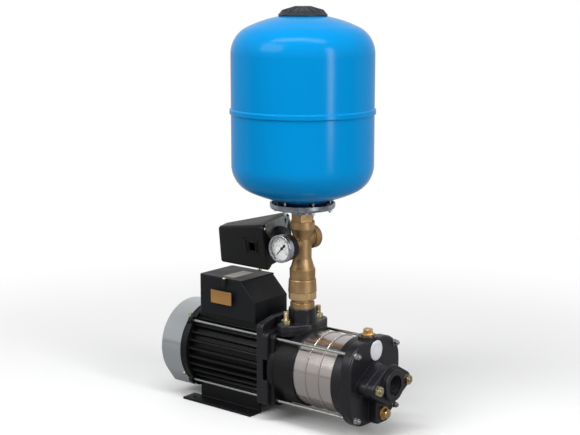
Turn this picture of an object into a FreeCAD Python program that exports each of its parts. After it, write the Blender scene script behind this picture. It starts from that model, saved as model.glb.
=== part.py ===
"""Booster pump set: horizontal multistage pump, motor, brass manifold and diaphragm tank.

Millimetres. The origin is the centre of the foot's bolt pattern on the floor, +X runs along
the shaft towards the suction port, +Z is up, and the discharge stack stands on y = 0.
"""
import FreeCAD, Part
import math
import os

# Clearances
press_gap = 0.1           # radial room in fits between pieces that do not move on each other
running_gap = 0.08        # radial room of a shaft in its bush
free_gap = 0.3            # room between a loose piece and its seat

# Foot
foot_length = 180.0
foot_width = 144.0
foot_sheet = 4.0
foot_web_width = 84.0     # across the outside of the two webs
motor_drop = 69.0         # shaft to the motor's underside
foot_bend = 5.0
foot_hole_pitch_x = 140.0
foot_hole_pitch_y = 116.0
foot_hole_radius = 4.5
shaft_height = 105.0

# Motor
housing_rear = -68.0      # x of the housing's rear face
housing_length = 182.0
housing_core_radius = 67.0
housing_bore_radius = 61.0
fin_radius = 80.0
fin_thickness = 3.0
fin_pitch = 9.4
fin_rows = 13
box_pad_width = 88.0
box_pad_height = 78.0     # shaft to the face that the terminal box stands on
rod_spacing = 122.6       # square of the motor's through bolts and of the pump's tie rods
bolt_radius = 2.5
bolt_hex = 8.0
bolt_head = 3.5
bolt_ear = 8.0
shield_depth = 14.0
shield_ear = 8.0          # thickness under the bolt heads
shield_web = 5.0
shield_register = 8.0
shield_ring_bore = 75.0
fan_cover_radius = 87.0
fan_cover_length = 56.0
fan_cover_sheet = 1.2
fan_cover_edge = 7.0      # rounding of its rear edge
fan_cover_drop = 79.0     # shaft to its flat underside
fan_cover_foot = 100.0    # width across the two lower corners
fan_cover_corner = 9.0
fan_slot_count = 18
fan_slot_width = 5.0
fan_slot_inner = 26.0
fan_slot_outer = 66.0
cover_screw_high = 53.0   # degrees above and below the level of the shaft
cover_screw_low = 35.5
cover_screw_radius = 2.0
fan_radius = 62.0
fan_blades = 8
fan_blade_depth = 24.0
shaft_fan_radius = 7.0
shaft_bearing_radius = 8.5
shaft_core_radius = 12.0
shaft_pump_radius = 8.0
bearing_radius = 20.0
bearing_width = 12.0
bearing_lip = 2.0
bearing_hub = 25.5
stator_length = 120.0
stator_shift = 8.0        # core's middle towards the fan from the housing's middle
stator_inner_radius = 34.4
air_gap = 0.4
winding_overhang = 20.0
winding_outer = 57.0
winding_inner = 38.0

# Terminal box
box_length = 147.0
box_width = 100.0
box_height = 79.0
box_rear = 6.0            # distance of its rear face from the housing's rear face
box_slope = 35.0          # bevel at the pump end
box_wall = 2.5
box_corner = 6.0
box_edge = 3.0            # rounding of its bevelled end
lid_thickness = 3.0
lid_screw_offset = 9.0    # lid screws from the middle of the foot
lid_tab = 8.0
capacitor_radius = 17.0
capacitor_length = 80.0
gland_hex = 22.0
gland_reach = 22.0        # box wall to the gland's outer end
gland_neck = 10.0         # length of its thread outside the wall
cable_hole_radius = 4.5

# Motor bracket and discharge casing
casting_edge = 2.5        # rounding of the castings' outer edges
flange_half = 79.0        # shaft to the near and far sides of bracket and casing
flange_corner = 10.0
flange_level = 36.0       # half the level stretch of the bracket's top and of its lower edge
flange_blend = 40.0       # rounding between the level stretches and the slopes
flange_foot = 70.0        # shaft down to the bracket's lower corners
flange_low = 80.0         # and to its level lower edge
flange_shoulder = 88.0    # shaft up to the bracket's upper corners
flange_high = 97.0        # and to its level top
bracket_flange = 14.0
bracket_web = 6.0
lantern_length = 11.0
lantern_shoulder = 73.0   # shaft to the upper corners of the lantern
lantern_high = 76.0       # and to its level top
lantern_bore = 52.0
window_width = 42.0
casing_flange = 11.0
casing_drum_length = 47.5
casing_radius = 76.0
casing_wall = 6.0
discharge_offset = 13.0   # casing drum face to the discharge axis
discharge_bolt_offset = 40.7
discharge_turn = 10.8     # degrees that the line of its bolts is turned from straight across
discharge_end_radius = 18.0
discharge_middle_radius = 34.0
discharge_pad = 12.0
discharge_plate = 9.0
discharge_rise = 76.8     # shaft to the casing's discharge face
discharge_bore = 13.0
neck_radius = 26.7
neck_hub = 27.2           # hub above the discharge flange's plate
gasket_thickness = 1.0
stud_radius = 5.0
stud_hex = 17.0
stud_nut_height = 8.4
stud_end = 15.8           # stud above its nut on the discharge
suction_stud_end = 2.1    # and on the suction
casing_ear = 10.0         # metal round the tie rods

# Stages
stage_count = 3
stage_length = 31.0
sleeve_radius = 73.0
sleeve_wall = 1.2
bead_height = 2.0
bead_width = 4.0
register_length = 4.0
impeller_radius = 56.0
impeller_width = 11.0
impeller_eye = 22.0
shroud_thickness = 1.5
vane_count = 6
vane_thickness = 2.0
diffuser_plate = 3.0
tie_rod_radius = 3.0
tie_nut_hex = 10.0
tie_nut_height = 6.0
washer_radius = 6.3
washer_thickness = 1.6

# Suction cover
cover_rim_length = 24.0
cover_rim_radius = 78.0
cover_body_length = 22.0
cover_half = 80.0
cover_corner = 50.0
cover_edge = 5.0          # rounding round its face
cover_wall = 6.0
cover_rod_boss = 8.0
suction_pad = 23.0
suction_bolt_offset = 46.5
suction_end_radius = 15.0
suction_middle_radius = 38.0
suction_plate = 14.0
suction_hub_radius = 29.5
suction_hub_length = 8.0
suction_thread_radius = 19.5
suction_thread_length = 20.0
priming_offset = 28.5     # sleeve end to the priming plug's axis
priming_boss_radius = 19.0
priming_boss_rise = 85.0  # shaft to the top of its boss
plug_thread_radius = 8.0
plug_flange_radius = 12.5
plug_hex = 17.0
plug_hex_height = 9.0
plug_flange_height = 3.5
plug_shank = 14.0
drain_width = 40.0
drain_depth = 18.0
drain_drop = 58.0         # shaft down to the drain plug's axis
drain_foot = 77.0         # shaft down to the lower edge of its boss
drain_head = 21.0         # and down to its upper edge

# Brass stack
stack_thread_radius = 16.5
nipple_radius = 23.6
nipple_height = 12.0
tail_radius = 20.0
tail_flange_radius = 23.0
union_nut_gap = 5.5       # bare tail between the nipple and the nut
union_nut_height = 14.5
union_nut_flats = 52.0
union_nut_radius = 27.6
valve_seat_radius = 12.5
valve_chamber_radius = 17.5
valve_engagement = 6.5    # how far the valve body reaches down into the union nut
valve_seat_depth = 9.5    # foot of the valve body to its seat
valve_chamber_depth = 22.0
valve_thread = 11.0
tail_thickness = 4.0
poppet_radius = 15.0
poppet_stem_radius = 3.0
poppet_travel = 8.0
spring_radius = 7.0
spring_wire = 0.9
spring_turns = 5
tee_socket_radius = 25.6
tee_socket_height = 19.0
tee_body_radius = 17.6
tee_bore = 13.0
tee_head_radius = 23.5
tee_head_height = 34.0    # outlet's axis to the top of the manifold
outlet_rise = 59.0        # socket's shoulder to the outlet's axis
gauge_rise = 49.0
switch_rise = 45.0
outlet_reach = 33.0
outlet_radius = 22.7
outlet_thread_radius = 15.1
outlet_thread_length = 16.0
port_radius = 10.5
port_reach = 26.0
port_thread_radius = 5.7
tank_nipple_hex = 39.0
tank_nipple_hex_height = 15.0

# Pressure gauge
gauge_reach = 70.0        # stack axis to the gauge's front
bezel_radius = 26.4
bezel_depth = 12.0
gauge_case_radius = 25.0
gauge_case_depth = 20.0
gauge_wall = 1.2
dial_radius = 23.5
glass_thickness = 1.6
pointer_length = 17.5
pointer_tail = 9.0
pointer_zero = 225.0      # degrees clockwise from the top
gauge_hex = 14.0

# Pressure switch
switch_roll = 10.0
switch_stem_length = 20.0
switch_inlet_radius = 31.0
switch_inlet_depth = 12.0
bracket_sheet = 1.6
switch_base_depth = 14.0
switch_width = 86.0
switch_depth = 92.0
switch_base_low = 38.6    # switch axis to the base's raised underside
switch_cover_length = 103.0
switch_crown_width = 24.0
switch_crown_low = 45.0
switch_crown_lean = 5.0     # the crown's foot stands out past its top
switch_crown_high = 31.0
switch_wall = 2.2
switch_edge = 3.0
cable_slot_offset = 10.0  # cover's open edge to its cable slot
cable_slot_length = 14.0
cable_slot_width = 16.0
lever_length = 44.0
lever_width = 34.0
lever_sheet = 2.0
lever_pin_radius = 1.5
carrier_length = 22.0     # contact carrier behind the lever's pin
carrier_height = 8.0
carrier_drop = 6.0        # lever's pin to the top of the carrier

# Tank
tank_radius = 135.0
tank_knuckle = 55.0
tank_crown = 240.0
tank_floor_rise = 81.5    # bladder's lip to the start of the straight side
tank_straight = 207.5     # length of the straight side
tank_seam_rise = 100.5    # start of the straight side to the seam
tank_wall = 1.2
seam_bead = 2.6
seam_width = 8.0
pan_lift = 10.0           # nipple's hexagon to the underside of the dished counter flange
pan_height = 11.0
pan_radius = 62.5
pan_sheet = 3.0
pan_bend = 5.0
pan_hub = 22.0
tank_neck_radius = 46.0
tank_bolt_circle = 52.5
tank_bolt_count = 6
tank_bolt_radius = 2.5
tank_bolt_hex = 8.0
tank_nut_height = 4.5
lip_thickness = 2.0
bladder_wall = 1.6
bladder_radius = 92.0
bladder_shoulder = 60.0
bladder_foot = 30.0
bladder_floor_gap = 26.0
valve_stem_radius = 3.9
cap_radius = 46.0
cap_height = 18.0
cap_wall = 2.5
cap_ribs = 16

# Stations along the shaft
housing_front = housing_rear + housing_length
bracket_end = housing_front + bracket_flange
lantern_end = bracket_end + lantern_length
drum_start = lantern_end + casing_flange
stages_start = drum_start + casing_drum_length
stages_end = stages_start + stage_count * stage_length
body_start = stages_end + cover_rim_length
cover_face = body_start + cover_body_length
pad_face = cover_face + suction_pad
suction_face = pad_face + gasket_thickness + suction_plate
port_face = suction_face + suction_hub_length
discharge_x = drum_start + discharge_offset
priming_x = stages_end + priming_offset
shield_rear = housing_rear - shield_depth
fan_cover_rear = shield_rear - fan_cover_length
rod_half = rod_spacing / 2.0

# Heights over the floor, up to the motor and up the discharge stack
foot_height = shaft_height - motor_drop
discharge_height = shaft_height + discharge_rise
flange_seat = discharge_height + gasket_thickness
neck_top = flange_seat + discharge_plate + neck_hub
union_nut_low = neck_top + nipple_height + union_nut_gap
valve_low = union_nut_low + union_nut_height - valve_engagement
valve_seat_height = valve_low + valve_seat_depth
valve_top = valve_seat_height + valve_chamber_depth
tee_shoulder = valve_top + tee_socket_height
gauge_height = tee_shoulder + gauge_rise
switch_height = tee_shoulder + switch_rise
outlet_height = tee_shoulder + outlet_rise
tee_top = outlet_height + tee_head_height
pan_base = tee_top + tank_nipple_hex_height + pan_lift
pan_rim = pan_base + pan_height
lip_seat = pan_base + pan_sheet
tank_straight_low = lip_seat + tank_floor_rise
tank_straight_high = tank_straight_low + tank_straight
tank_seam = tank_straight_low + tank_seam_rise


def vec(x, y, z):
    return FreeCAD.Vector(x, y, z)


def plane_xz(u, v):
    return vec(u, 0.0, v)


def plane_yz(u, v):
    return vec(0.0, u, v)


def plane_xy(u, v):
    return vec(u, v, 0.0)


def outline(points, place):
    """Closed face through (u, v) corners; a third number rounds that corner with an arc."""
    starts, middles, ends = [], [], []
    count = len(points)
    for index, point in enumerate(points):
        here = place(point[0], point[1])
        if len(point) < 3:
            starts.append(here)
            middles.append(None)
            ends.append(here)
            continue
        before = place(*points[index - 1][:2]) - here
        after = place(*points[(index + 1) % count][:2]) - here
        before.normalize()
        after.normalize()
        half_angle = before.getAngle(after) / 2.0
        reach = point[2] / math.tan(half_angle)
        bisector = before + after
        bisector.normalize()
        starts.append(here + before * reach)
        middles.append(here + bisector * (point[2] / math.sin(half_angle) - point[2]))
        ends.append(here + after * reach)
    edges = []
    for index in range(count):
        if middles[index] is not None:
            edges.append(Part.Arc(starts[index], middles[index], ends[index]).toShape())
        following = starts[(index + 1) % count]
        if (following - ends[index]).Length > 1e-6:
            edges.append(Part.makeLine(ends[index], following))
    return Part.Face(Part.Wire(edges))


def turned_z(points):
    """Solid of revolution about Z from a closed (radius, z) outline."""
    return outline(points, plane_xz).revolve(vec(0, 0, 0), vec(0, 0, 1), 360)


def turned_x(points):
    """Solid of revolution about X from a closed (x, radius) outline."""
    return outline(points, plane_xz).revolve(vec(0, 0, 0), vec(1, 0, 0), 360)


def moved(shape, x=0.0, y=0.0, z=0.0):
    shape = shape.copy()
    shape.translate(vec(x, y, z))
    return shape


def turned_by(shape, centre, axis, angle):
    shape = shape.copy()
    shape.rotate(centre, axis, angle)
    return shape


def rod_x(start, end, radius, y=0.0, z=0.0):
    return Part.makeCylinder(radius, end - start, vec(start, y, z), vec(1, 0, 0))


def rod_y(start, end, radius, x=0.0, z=0.0):
    return Part.makeCylinder(radius, end - start, vec(x, start, z), vec(0, 1, 0))


def rod_z(start, end, radius, x=0.0, y=0.0):
    return Part.makeCylinder(radius, end - start, vec(x, y, start), vec(0, 0, 1))


def block(x, y, z):
    """Box between the (low, high) pairs of its three directions."""
    return Part.makeBox(x[1] - x[0], y[1] - y[0], z[1] - z[0], vec(x[0], y[0], z[0]))


def joined(shapes):
    return shapes[0].multiFuse(shapes[1:]).removeSplitter()


def without(shape, tools):
    return shape.cut(Part.makeCompound(tools)).removeSplitter()


def square_corners(half):
    return [(-half, -half), (half, -half), (half, half), (-half, half)]


def rounded_slab(half_y, half_z, corner, start, end):
    """Plate across X with rounded corners, centred on the shaft."""
    points = [(y * half_y, z * half_z, corner) for y, z in square_corners(1.0)]
    face = outline(points, plane_yz).extrude(vec(end - start, 0, 0))
    return moved(face, x=start)


def eased(shape, radius, axis, level):
    """The shape with the outer rim of its flat face at a level along an axis rounded off."""
    rim = [edge for edge in shape.Edges
           if abs(getattr(edge.BoundBox, axis + "Min") - level) < 0.01
           and abs(getattr(edge.BoundBox, axis + "Max") - level) < 0.01]
    return shape.makeFillet(radius, rim)


def hex_bar(flats, height):
    """Hexagonal bar from z = 0 up."""
    radius = flats / 2.0 / math.cos(math.pi / 6.0)
    corners = [(radius * math.cos(math.pi * i / 3.0), radius * math.sin(math.pi * i / 3.0)) for i in range(6)]
    return outline(corners, plane_xy).extrude(vec(0, 0, height))


def hex_piece(flats, height, bore):
    """Nut with both ends bevelled and a plain bore."""
    corner = flats / 2.0 / math.cos(math.pi / 6.0)
    bevel = (corner - flats / 2.0) * 0.6
    barrel = turned_z([(0, 0), (corner - bevel, 0), (corner, bevel), (corner, height - bevel),
                       (corner - bevel, height), (0, height)])
    nut = hex_bar(flats, height).common(barrel)
    return nut.cut(rod_z(-1, height + 1, bore))


def along_x(shape):
    """Turns a piece that stands on Z to lie on +X."""
    return turned_by(shape, vec(0, 0, 0), vec(0, 1, 0), 90)


def along_minus_y(shape):
    """Turns a piece that stands on Z to point to the front."""
    return turned_by(shape, vec(0, 0, 0), vec(1, 0, 0), 90)


def oval_plate(bolt_offset, end_radius, middle_radius, thickness):
    """Two-bolt flange plate from z = 0 up, with its long way along Y."""
    lean = math.asin((middle_radius - end_radius) / bolt_offset)
    side = vec(math.cos(lean), math.sin(lean), 0)
    mirrored = vec(-side.x, side.y, 0)
    top = vec(0, bolt_offset, 0)
    edges = []
    for sign in (1, -1):
        flip = FreeCAD.Matrix(sign, 0, 0, 0, 0, sign, 0, 0, 0, 0, 1, 0, 0, 0, 0, 1)
        right_mid, right_end = side * middle_radius, top + side * end_radius
        left_end, left_mid = top + mirrored * end_radius, mirrored * middle_radius
        crest = vec(0, bolt_offset + end_radius, 0)
        below = vec(-side.x, -side.y, 0) * middle_radius
        points = [flip.multVec(p) for p in (right_mid, right_end, crest, left_end, left_mid, below)]
        edges.append(Part.makeLine(points[0], points[1]))
        edges.append(Part.Arc(points[1], points[2], points[3]).toShape())
        edges.append(Part.makeLine(points[3], points[4]))
        middle = flip.multVec(vec(-middle_radius, 0, 0))
        edges.append(Part.Arc(points[4], middle, points[5]).toShape())
    return Part.Face(Part.Wire(edges)).extrude(vec(0, 0, thickness))


def motor_foot():
    """Bent steel foot: two flanges on the floor, two webs and the bridge under the motor."""
    half = foot_width / 2.0
    web = foot_web_width / 2.0
    inner = web - foot_sheet
    points = [(-half, 0), (-inner, 0), (-inner, foot_height - foot_sheet, 1.0),
              (inner, foot_height - foot_sheet, 1.0), (inner, 0), (half, 0), (half, foot_sheet),
              (web, foot_sheet, 2.0), (web, foot_height, foot_bend),
              (-web, foot_height, foot_bend), (-web, foot_sheet, 2.0), (-half, foot_sheet)]
    foot = outline(points, plane_yz).extrude(vec(foot_length, 0, 0))
    foot = moved(foot, x=-foot_length / 2.0)
    holes = []
    for x, y in ((-1, -1), (1, -1), (1, 1), (-1, 1)):
        place = (x * foot_hole_pitch_x / 2.0, y * foot_hole_pitch_y / 2.0)
        holes.append(rod_z(-1, foot_sheet + 1, foot_hole_radius, *place))
    holes.append(block((-foot_length, housing_rear + 1.0), (-foot_width, foot_width),
                       (foot_sheet, foot_height + 1)))
    return without(foot, holes)


def motor_housing():
    """Finned housing: bored core, level fins both sides, pads for the foot and the box."""
    core = rod_x(housing_rear, housing_front, housing_core_radius)
    envelope = rod_x(housing_rear, housing_front, fin_radius)
    fins = []
    for row in range(fin_rows):
        level = (row - (fin_rows - 1) / 2.0) * fin_pitch
        fins.append(block((housing_rear, housing_front), (-fin_radius, fin_radius),
                          (level - fin_thickness / 2.0, level + fin_thickness / 2.0)))
    finned = Part.makeCompound(fins).common(envelope)
    box_front = housing_rear + box_rear + box_length
    top_pad = block((housing_rear, box_front), (-box_pad_width / 2.0, box_pad_width / 2.0),
                    (housing_core_radius / 2.0, box_pad_height))
    foot_pad_half = foot_web_width / 2.0 - foot_bend
    bottom = -motor_drop
    bottom_pad = block((housing_rear, foot_length / 2.0), (-foot_pad_half, foot_pad_half),
                       (bottom, -housing_core_radius / 2.0))
    body = joined([core, finned, top_pad, bottom_pad])
    below = block((housing_rear - 1, housing_front + 1), (-fin_radius, fin_radius),
                  (-2 * fin_radius, bottom))
    bore = rod_x(housing_rear - 1, housing_front + 1, housing_bore_radius)
    return moved(without(body, [below, bore]), z=shaft_height)


def hood_slab(inset, start, end):
    """Solid across X in the fan cover's outline: round, with tangent sides and a flat underside."""
    radius = fan_cover_radius - inset
    level = inset - fan_cover_drop
    half = fan_cover_foot / 2.0 - inset
    touch = math.atan2(level, half) + math.acos(radius / math.hypot(half, level))
    right = (radius * math.cos(touch), radius * math.sin(touch))
    corner = fan_cover_corner - inset
    below = outline([(-right[0], right[1]), (-half, level, corner), (half, level, corner), right], plane_yz)
    edges = [edge for edge in below.Edges if abs(edge.CenterOfMass.z - right[1]) > 1e-6]
    edges.append(Part.Arc(plane_yz(*right), plane_yz(0, radius), plane_yz(-right[0], right[1])).toShape())
    face = Part.Face(Part.Wire(Part.__sortEdges__(edges)))
    return moved(face.extrude(vec(end - start, 0, 0)), x=start)


def rear_end_shield():
    """Rear end shield: bearing seat, spigot, fan cover register and four ears for the bolts."""
    register = fan_cover_sheet + press_gap / 2.0
    spigot = housing_bore_radius - press_gap
    body = hood_slab(register, shield_rear - shield_register, housing_rear)
    ring = rod_x(housing_rear, housing_rear + register_length, spigot)
    ears = [rod_x(housing_rear - shield_ear, housing_rear, bolt_ear, y, z)
            for y, z in square_corners(rod_half)]
    cuts = [rod_x(shield_rear - shield_register - 1, shield_rear, shield_ring_bore)]
    pocket = rod_x(shield_rear + shield_web, housing_rear + register_length + 1, spigot - 4.0)
    cuts.append(pocket.cut(rod_x(shield_rear, housing_rear, bearing_hub)))
    cuts.append(rod_x(shield_rear + bearing_lip, housing_rear + 1, bearing_radius + press_gap))
    cuts.append(rod_x(shield_rear - 1, housing_rear, shaft_bearing_radius + 3.0))
    for y, z in square_corners(rod_half):
        cuts.append(rod_x(shield_rear - shield_register, housing_rear - shield_ear, bolt_ear, y, z))
        cuts.append(rod_x(housing_rear - shield_ear - 1, housing_rear + 1, bolt_radius + press_gap, y, z))
    inner = fan_cover_radius - 2.0 * shield_register
    for place in cover_screw_places():
        cuts.append(place(rod_x(inner, fan_cover_radius + 1, cover_screw_radius + press_gap)))
    return moved(without(joined([body, ring] + ears), cuts), z=shaft_height)


def cover_screw_places():
    """Four ways of putting a piece that lies along X on the fan cover's rim, head outwards."""
    def at(angle):
        def place(piece):
            upright = turned_by(piece, vec(0, 0, 0), vec(0, 0, 1), 90)
            around = turned_by(upright, vec(0, 0, 0), vec(1, 0, 0), angle)
            return moved(around, x=shield_rear - shield_register / 2.0)
        return place
    angles = (cover_screw_high, 180.0 - cover_screw_high, 180.0 + cover_screw_low, -cover_screw_low)
    return [at(angle) for angle in angles]


def rounded_rear(shape, rear, radius):
    """Rounds every edge of the face that lies at x = rear."""
    edges = [edge for edge in shape.Edges if edge.BoundBox.XMax < rear + 1e-6]
    return shape.makeFillet(radius, edges)


def fan_cover():
    """Drawn sheet cover with a flat underside, a rounded rear edge and a ring of air slots."""
    rear = fan_cover_rear
    sheet = fan_cover_sheet
    outer = rounded_rear(hood_slab(0.0, rear, shield_rear), rear, fan_cover_edge)
    inner = rounded_rear(hood_slab(sheet, rear + sheet, shield_rear + 1), rear + sheet,
                         fan_cover_edge - sheet)
    slot = block((rear - 1, rear + sheet + 1), (-fan_slot_width / 2.0, fan_slot_width / 2.0),
                 (fan_slot_inner, fan_slot_outer))
    cuts = [turned_by(slot, vec(0, 0, 0), vec(1, 0, 0), 360.0 * i / fan_slot_count)
            for i in range(fan_slot_count)]
    for place in cover_screw_places():
        cuts.append(place(rod_x(fan_cover_radius - 3.0, fan_cover_radius + 1,
                                cover_screw_radius + press_gap)))
    return moved(without(outer, [inner] + cuts), z=shaft_height)


def screw(shank_length):
    """Pan head screw along X with the head's seat at x = 0 and the shank behind it."""
    head_radius = 2.0 * cover_screw_radius
    head = turned_x([(0, 0), (0, head_radius), (cover_screw_radius, head_radius * 0.8),
                     (cover_screw_radius, 0)])
    return head.fuse(rod_x(-shank_length, 0, cover_screw_radius)).removeSplitter()


def cover_screws():
    """Four screws round the fan cover's rim and two in the box lid's tabs."""
    pieces = []
    shank = shield_register - 1.0
    for place in cover_screw_places():
        pieces.append(moved(place(moved(screw(shank), x=fan_cover_radius + press_gap)), z=shaft_height))
    upright = turned_by(screw(lid_tab), vec(0, 0, 0), vec(0, 1, 0), -90)
    for side in (-1, 1):
        y = side * (box_width / 2.0 + lid_tab / 2.0)
        pieces.append(moved(upright, lid_screw_offset, y, box_top() + lid_thickness))
    return Part.makeCompound(pieces)


def cooling_fan():
    """Radial fan: hub on the shaft end, thin back disc and straight blades."""
    front = shield_rear - shield_register - 6.0
    back = front - fan_blade_depth
    hub = rod_x(back, front, shaft_fan_radius + 6.0)
    disc = rod_x(front - 2.5, front, fan_radius)
    blade = block((back, front), (-1.2, 1.2), (shaft_fan_radius + 3.0, fan_radius))
    blades = [turned_by(blade, vec(0, 0, 0), vec(1, 0, 0), 360.0 * i / fan_blades) for i in range(fan_blades)]
    return moved(without(joined([hub, disc] + blades),
                         [rod_x(back - 1, front + 1, shaft_fan_radius + press_gap)]),
                 z=shaft_height)


def shaft_end():
    """X of the pump end of the shaft, just past the first stage's impeller."""
    return stages_end + 6.0


def motor_shaft():
    """One stepped shaft through motor and pump, with the nut that holds the impellers."""
    rear = shield_rear - shield_register - 6.0 - fan_blade_depth
    rear_seat = rear_bearing_start()
    front_seat = front_bearing_start()
    profile = [(rear, 0), (rear, shaft_fan_radius), (rear_seat, shaft_fan_radius),
               (rear_seat, shaft_bearing_radius), (rear_seat + bearing_width, shaft_bearing_radius),
               (rear_seat + bearing_width, shaft_core_radius), (front_seat, shaft_core_radius),
               (front_seat, shaft_bearing_radius), (front_seat + bearing_width, shaft_bearing_radius),
               (front_seat + bearing_width, shaft_pump_radius), (shaft_end(), shaft_pump_radius),
               (shaft_end(), 0)]
    return moved(turned_x(profile), z=shaft_height)


def rear_bearing_start():
    return shield_rear + bearing_lip


def front_bearing_start():
    return bracket_end - bracket_web - bearing_width


def shaft_bearings():
    """Two sealed ball bearings, the inner ring bored to run on the shaft."""
    pieces = []
    lip = 1.0
    middle = (bearing_radius + shaft_bearing_radius) / 2.0
    for start in (rear_bearing_start(), front_bearing_start()):
        end = start + bearing_width
        inner = shaft_bearing_radius + running_gap
        profile = [(start, inner), (start, middle - 4.0), (start + lip, middle - 4.0),
                   (start + lip, middle + 4.0),
                   (start, middle + 4.0), (start, bearing_radius), (end, bearing_radius), (end, middle + 4.0),
                   (end - lip, middle + 4.0), (end - lip, middle - 4.0), (end, middle - 4.0), (end, inner)]
        pieces.append(moved(turned_x(profile), z=shaft_height))
    return Part.makeCompound(pieces)


def core_start():
    return housing_rear + (housing_length - stator_length) / 2.0 - stator_shift


def rotor_core():
    """Laminated squirrel cage rotor with its two end rings."""
    start = core_start()
    end = start + stator_length
    outer = stator_inner_radius - air_gap
    ring = 6.0
    bore = shaft_core_radius + press_gap
    profile = [(start - ring, bore), (start - ring, outer - 2.0), (start, outer - 2.0), (start, outer),
               (end, outer),
               (end, outer - 2.0), (end + ring, outer - 2.0), (end + ring, bore)]
    return moved(turned_x(profile), z=shaft_height)


def stator_core():
    """Laminated ring pressed into the housing."""
    start = core_start()
    end = start + stator_length
    outer = housing_bore_radius - press_gap
    return moved(rod_x(start, end, outer).cut(rod_x(start - 1, end + 1, stator_inner_radius)), z=shaft_height)


def stator_winding():
    """Copper end turns on both faces of the stator core."""
    coils = []
    start = core_start()
    for low, high in ((start - winding_overhang, start),
                      (start + stator_length, start + stator_length + winding_overhang)):
        profile = [(low, winding_inner, 6.0), (low, winding_outer, 6.0), (high, winding_outer, 6.0),
                   (high, winding_inner, 6.0)]
        coils.append(moved(turned_x(profile), z=shaft_height))
    return Part.makeCompound(coils)


def motor_through_bolts():
    """Four long bolts beside the fins that clamp the end shield, housing and bracket."""
    bolts = []
    seat = housing_rear - shield_ear
    head = along_x(hex_bar(bolt_hex, bolt_head))
    for y, z in square_corners(rod_half):
        shank = rod_x(seat, bracket_end - 2.0, bolt_radius, y, z)
        bolts.append(shank.fuse(moved(head, seat - bolt_head, y, z)).removeSplitter())
    return moved(Part.makeCompound(bolts), z=shaft_height)


def box_start():
    return housing_rear + box_rear


def box_bottom():
    return shaft_height + box_pad_height


def box_top():
    return box_bottom() + box_height - lid_thickness


def box_profile(inset, top):
    """Side view of the terminal box, drawn inwards by a wall."""
    start = box_start() + inset
    end = box_start() + box_length - inset
    low = box_bottom() + inset
    slope_run = box_slope + inset * (math.sqrt(2.0) - 1.0) - inset
    return [(start, low), (end, low), (end, box_top() - slope_run), (end - slope_run, box_top()),
            (end - slope_run, top), (start, top)]


def terminal_box():
    """Moulded box with a bevelled pump end, open at the top, with lid tabs and a cable hole."""
    half = box_width / 2.0
    outer = outline(box_profile(0.0, box_top())[:4] + [(box_start(), box_top())], plane_xz)
    outer = moved(outer.extrude(vec(0, box_width, 0)), y=-half)
    upright = [edge for edge in outer.Edges
               if edge.BoundBox.XMax < box_start() + 0.01 and edge.BoundBox.ZLength > box_height / 2.0]
    outer = outer.makeFillet(box_corner, upright)
    end = box_start() + box_length
    sloped = [edge for edge in outer.Edges
              if edge.BoundBox.XMax > end - 0.01 and edge.BoundBox.ZMax > box_bottom() + 0.01]
    outer = outer.makeFillet(box_edge, sloped)
    inner = outline(box_profile(box_wall, box_top() + 1), plane_xz)
    inner = moved(inner.extrude(vec(0, box_width - 2 * box_wall, 0)), y=-half + box_wall)
    cuts = [inner]
    tabs = []
    for side in (-1, 1):
        y = side * (half + lid_tab / 2.0)
        reach = sorted((side * (half - box_wall), y))
        tabs.append(block((lid_screw_offset - lid_tab / 2.0, lid_screw_offset + lid_tab / 2.0), reach,
                          (box_top() - lid_tab - 4.0, box_top())))
        tabs.append(rod_z(box_top() - lid_tab - 4.0, box_top(), lid_tab / 2.0, lid_screw_offset, y))
        cuts.append(rod_z(box_top() - lid_tab, box_top() + 1, cover_screw_radius + press_gap,
                          lid_screw_offset, y))
    cuts.append(rod_x(box_start() - 1, box_start() + box_wall + 1, gland_thread(), 0, gland_height()))
    return without(joined([outer] + tabs), cuts)


def gland_thread():
    return gland_hex / 2.0 - 2.0


def gland_height():
    return box_bottom() + box_height / 2.0


def terminal_box_lid():
    """Flat lid with a locating rim inside the box and two screw tabs."""
    half = box_width / 2.0
    start = box_start()
    end = box_start() + box_length - box_slope
    top = box_top() + lid_thickness
    plate = block((start, end), (-half, half), (box_top(), top))
    upright = [edge for edge in plate.Edges if edge.BoundBox.ZLength > lid_thickness / 2.0
               and abs(edge.CenterOfMass.x - start) < 0.01]
    plate = eased(plate.makeFillet(box_corner, upright), lid_thickness / 2.0, "Z", top)
    edge = box_wall + press_gap
    rim = block((start + edge, end - 2 * edge), (-half + edge, half - edge), (box_top() - 3.0, box_top()))
    core = block((start + 2 * edge, end - 3 * edge), (-half + 2 * edge, half - 2 * edge),
                 (box_top() - 4.0, box_top()))
    pieces = [plate, rim.cut(core)]
    holes = []
    for side in (-1, 1):
        y = side * (half + lid_tab / 2.0)
        pieces.append(rod_z(box_top(), top, lid_tab / 2.0, lid_screw_offset, y))
        pieces.append(block((lid_screw_offset - lid_tab / 2.0, lid_screw_offset + lid_tab / 2.0),
                            sorted((side * (half - 1.0), y)), (box_top(), top)))
        holes.append(rod_z(box_top() - 1, top + 1, cover_screw_radius + press_gap, lid_screw_offset, y))
    return without(joined(pieces), holes)


def capacitor():
    """Run capacitor that lies on the box's floor, with its two tabs."""
    z = box_bottom() + box_wall + capacitor_radius
    start = box_start() + box_wall + 20.0
    can = turned_x([(start, 0), (start, capacitor_radius, 2.0),
                    (start + capacitor_length, capacitor_radius, 2.0),
                    (start + capacitor_length, 0)])
    tabs = []
    for side in (-1, 1):
        y = side * capacitor_radius / 2.5
        tabs.append(block((start + capacitor_length, start + capacitor_length + 7.0), (y - 0.5, y + 0.5),
                          (-3.0, 3.0)))
    return moved(joined([can] + tabs), z=z)


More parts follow.
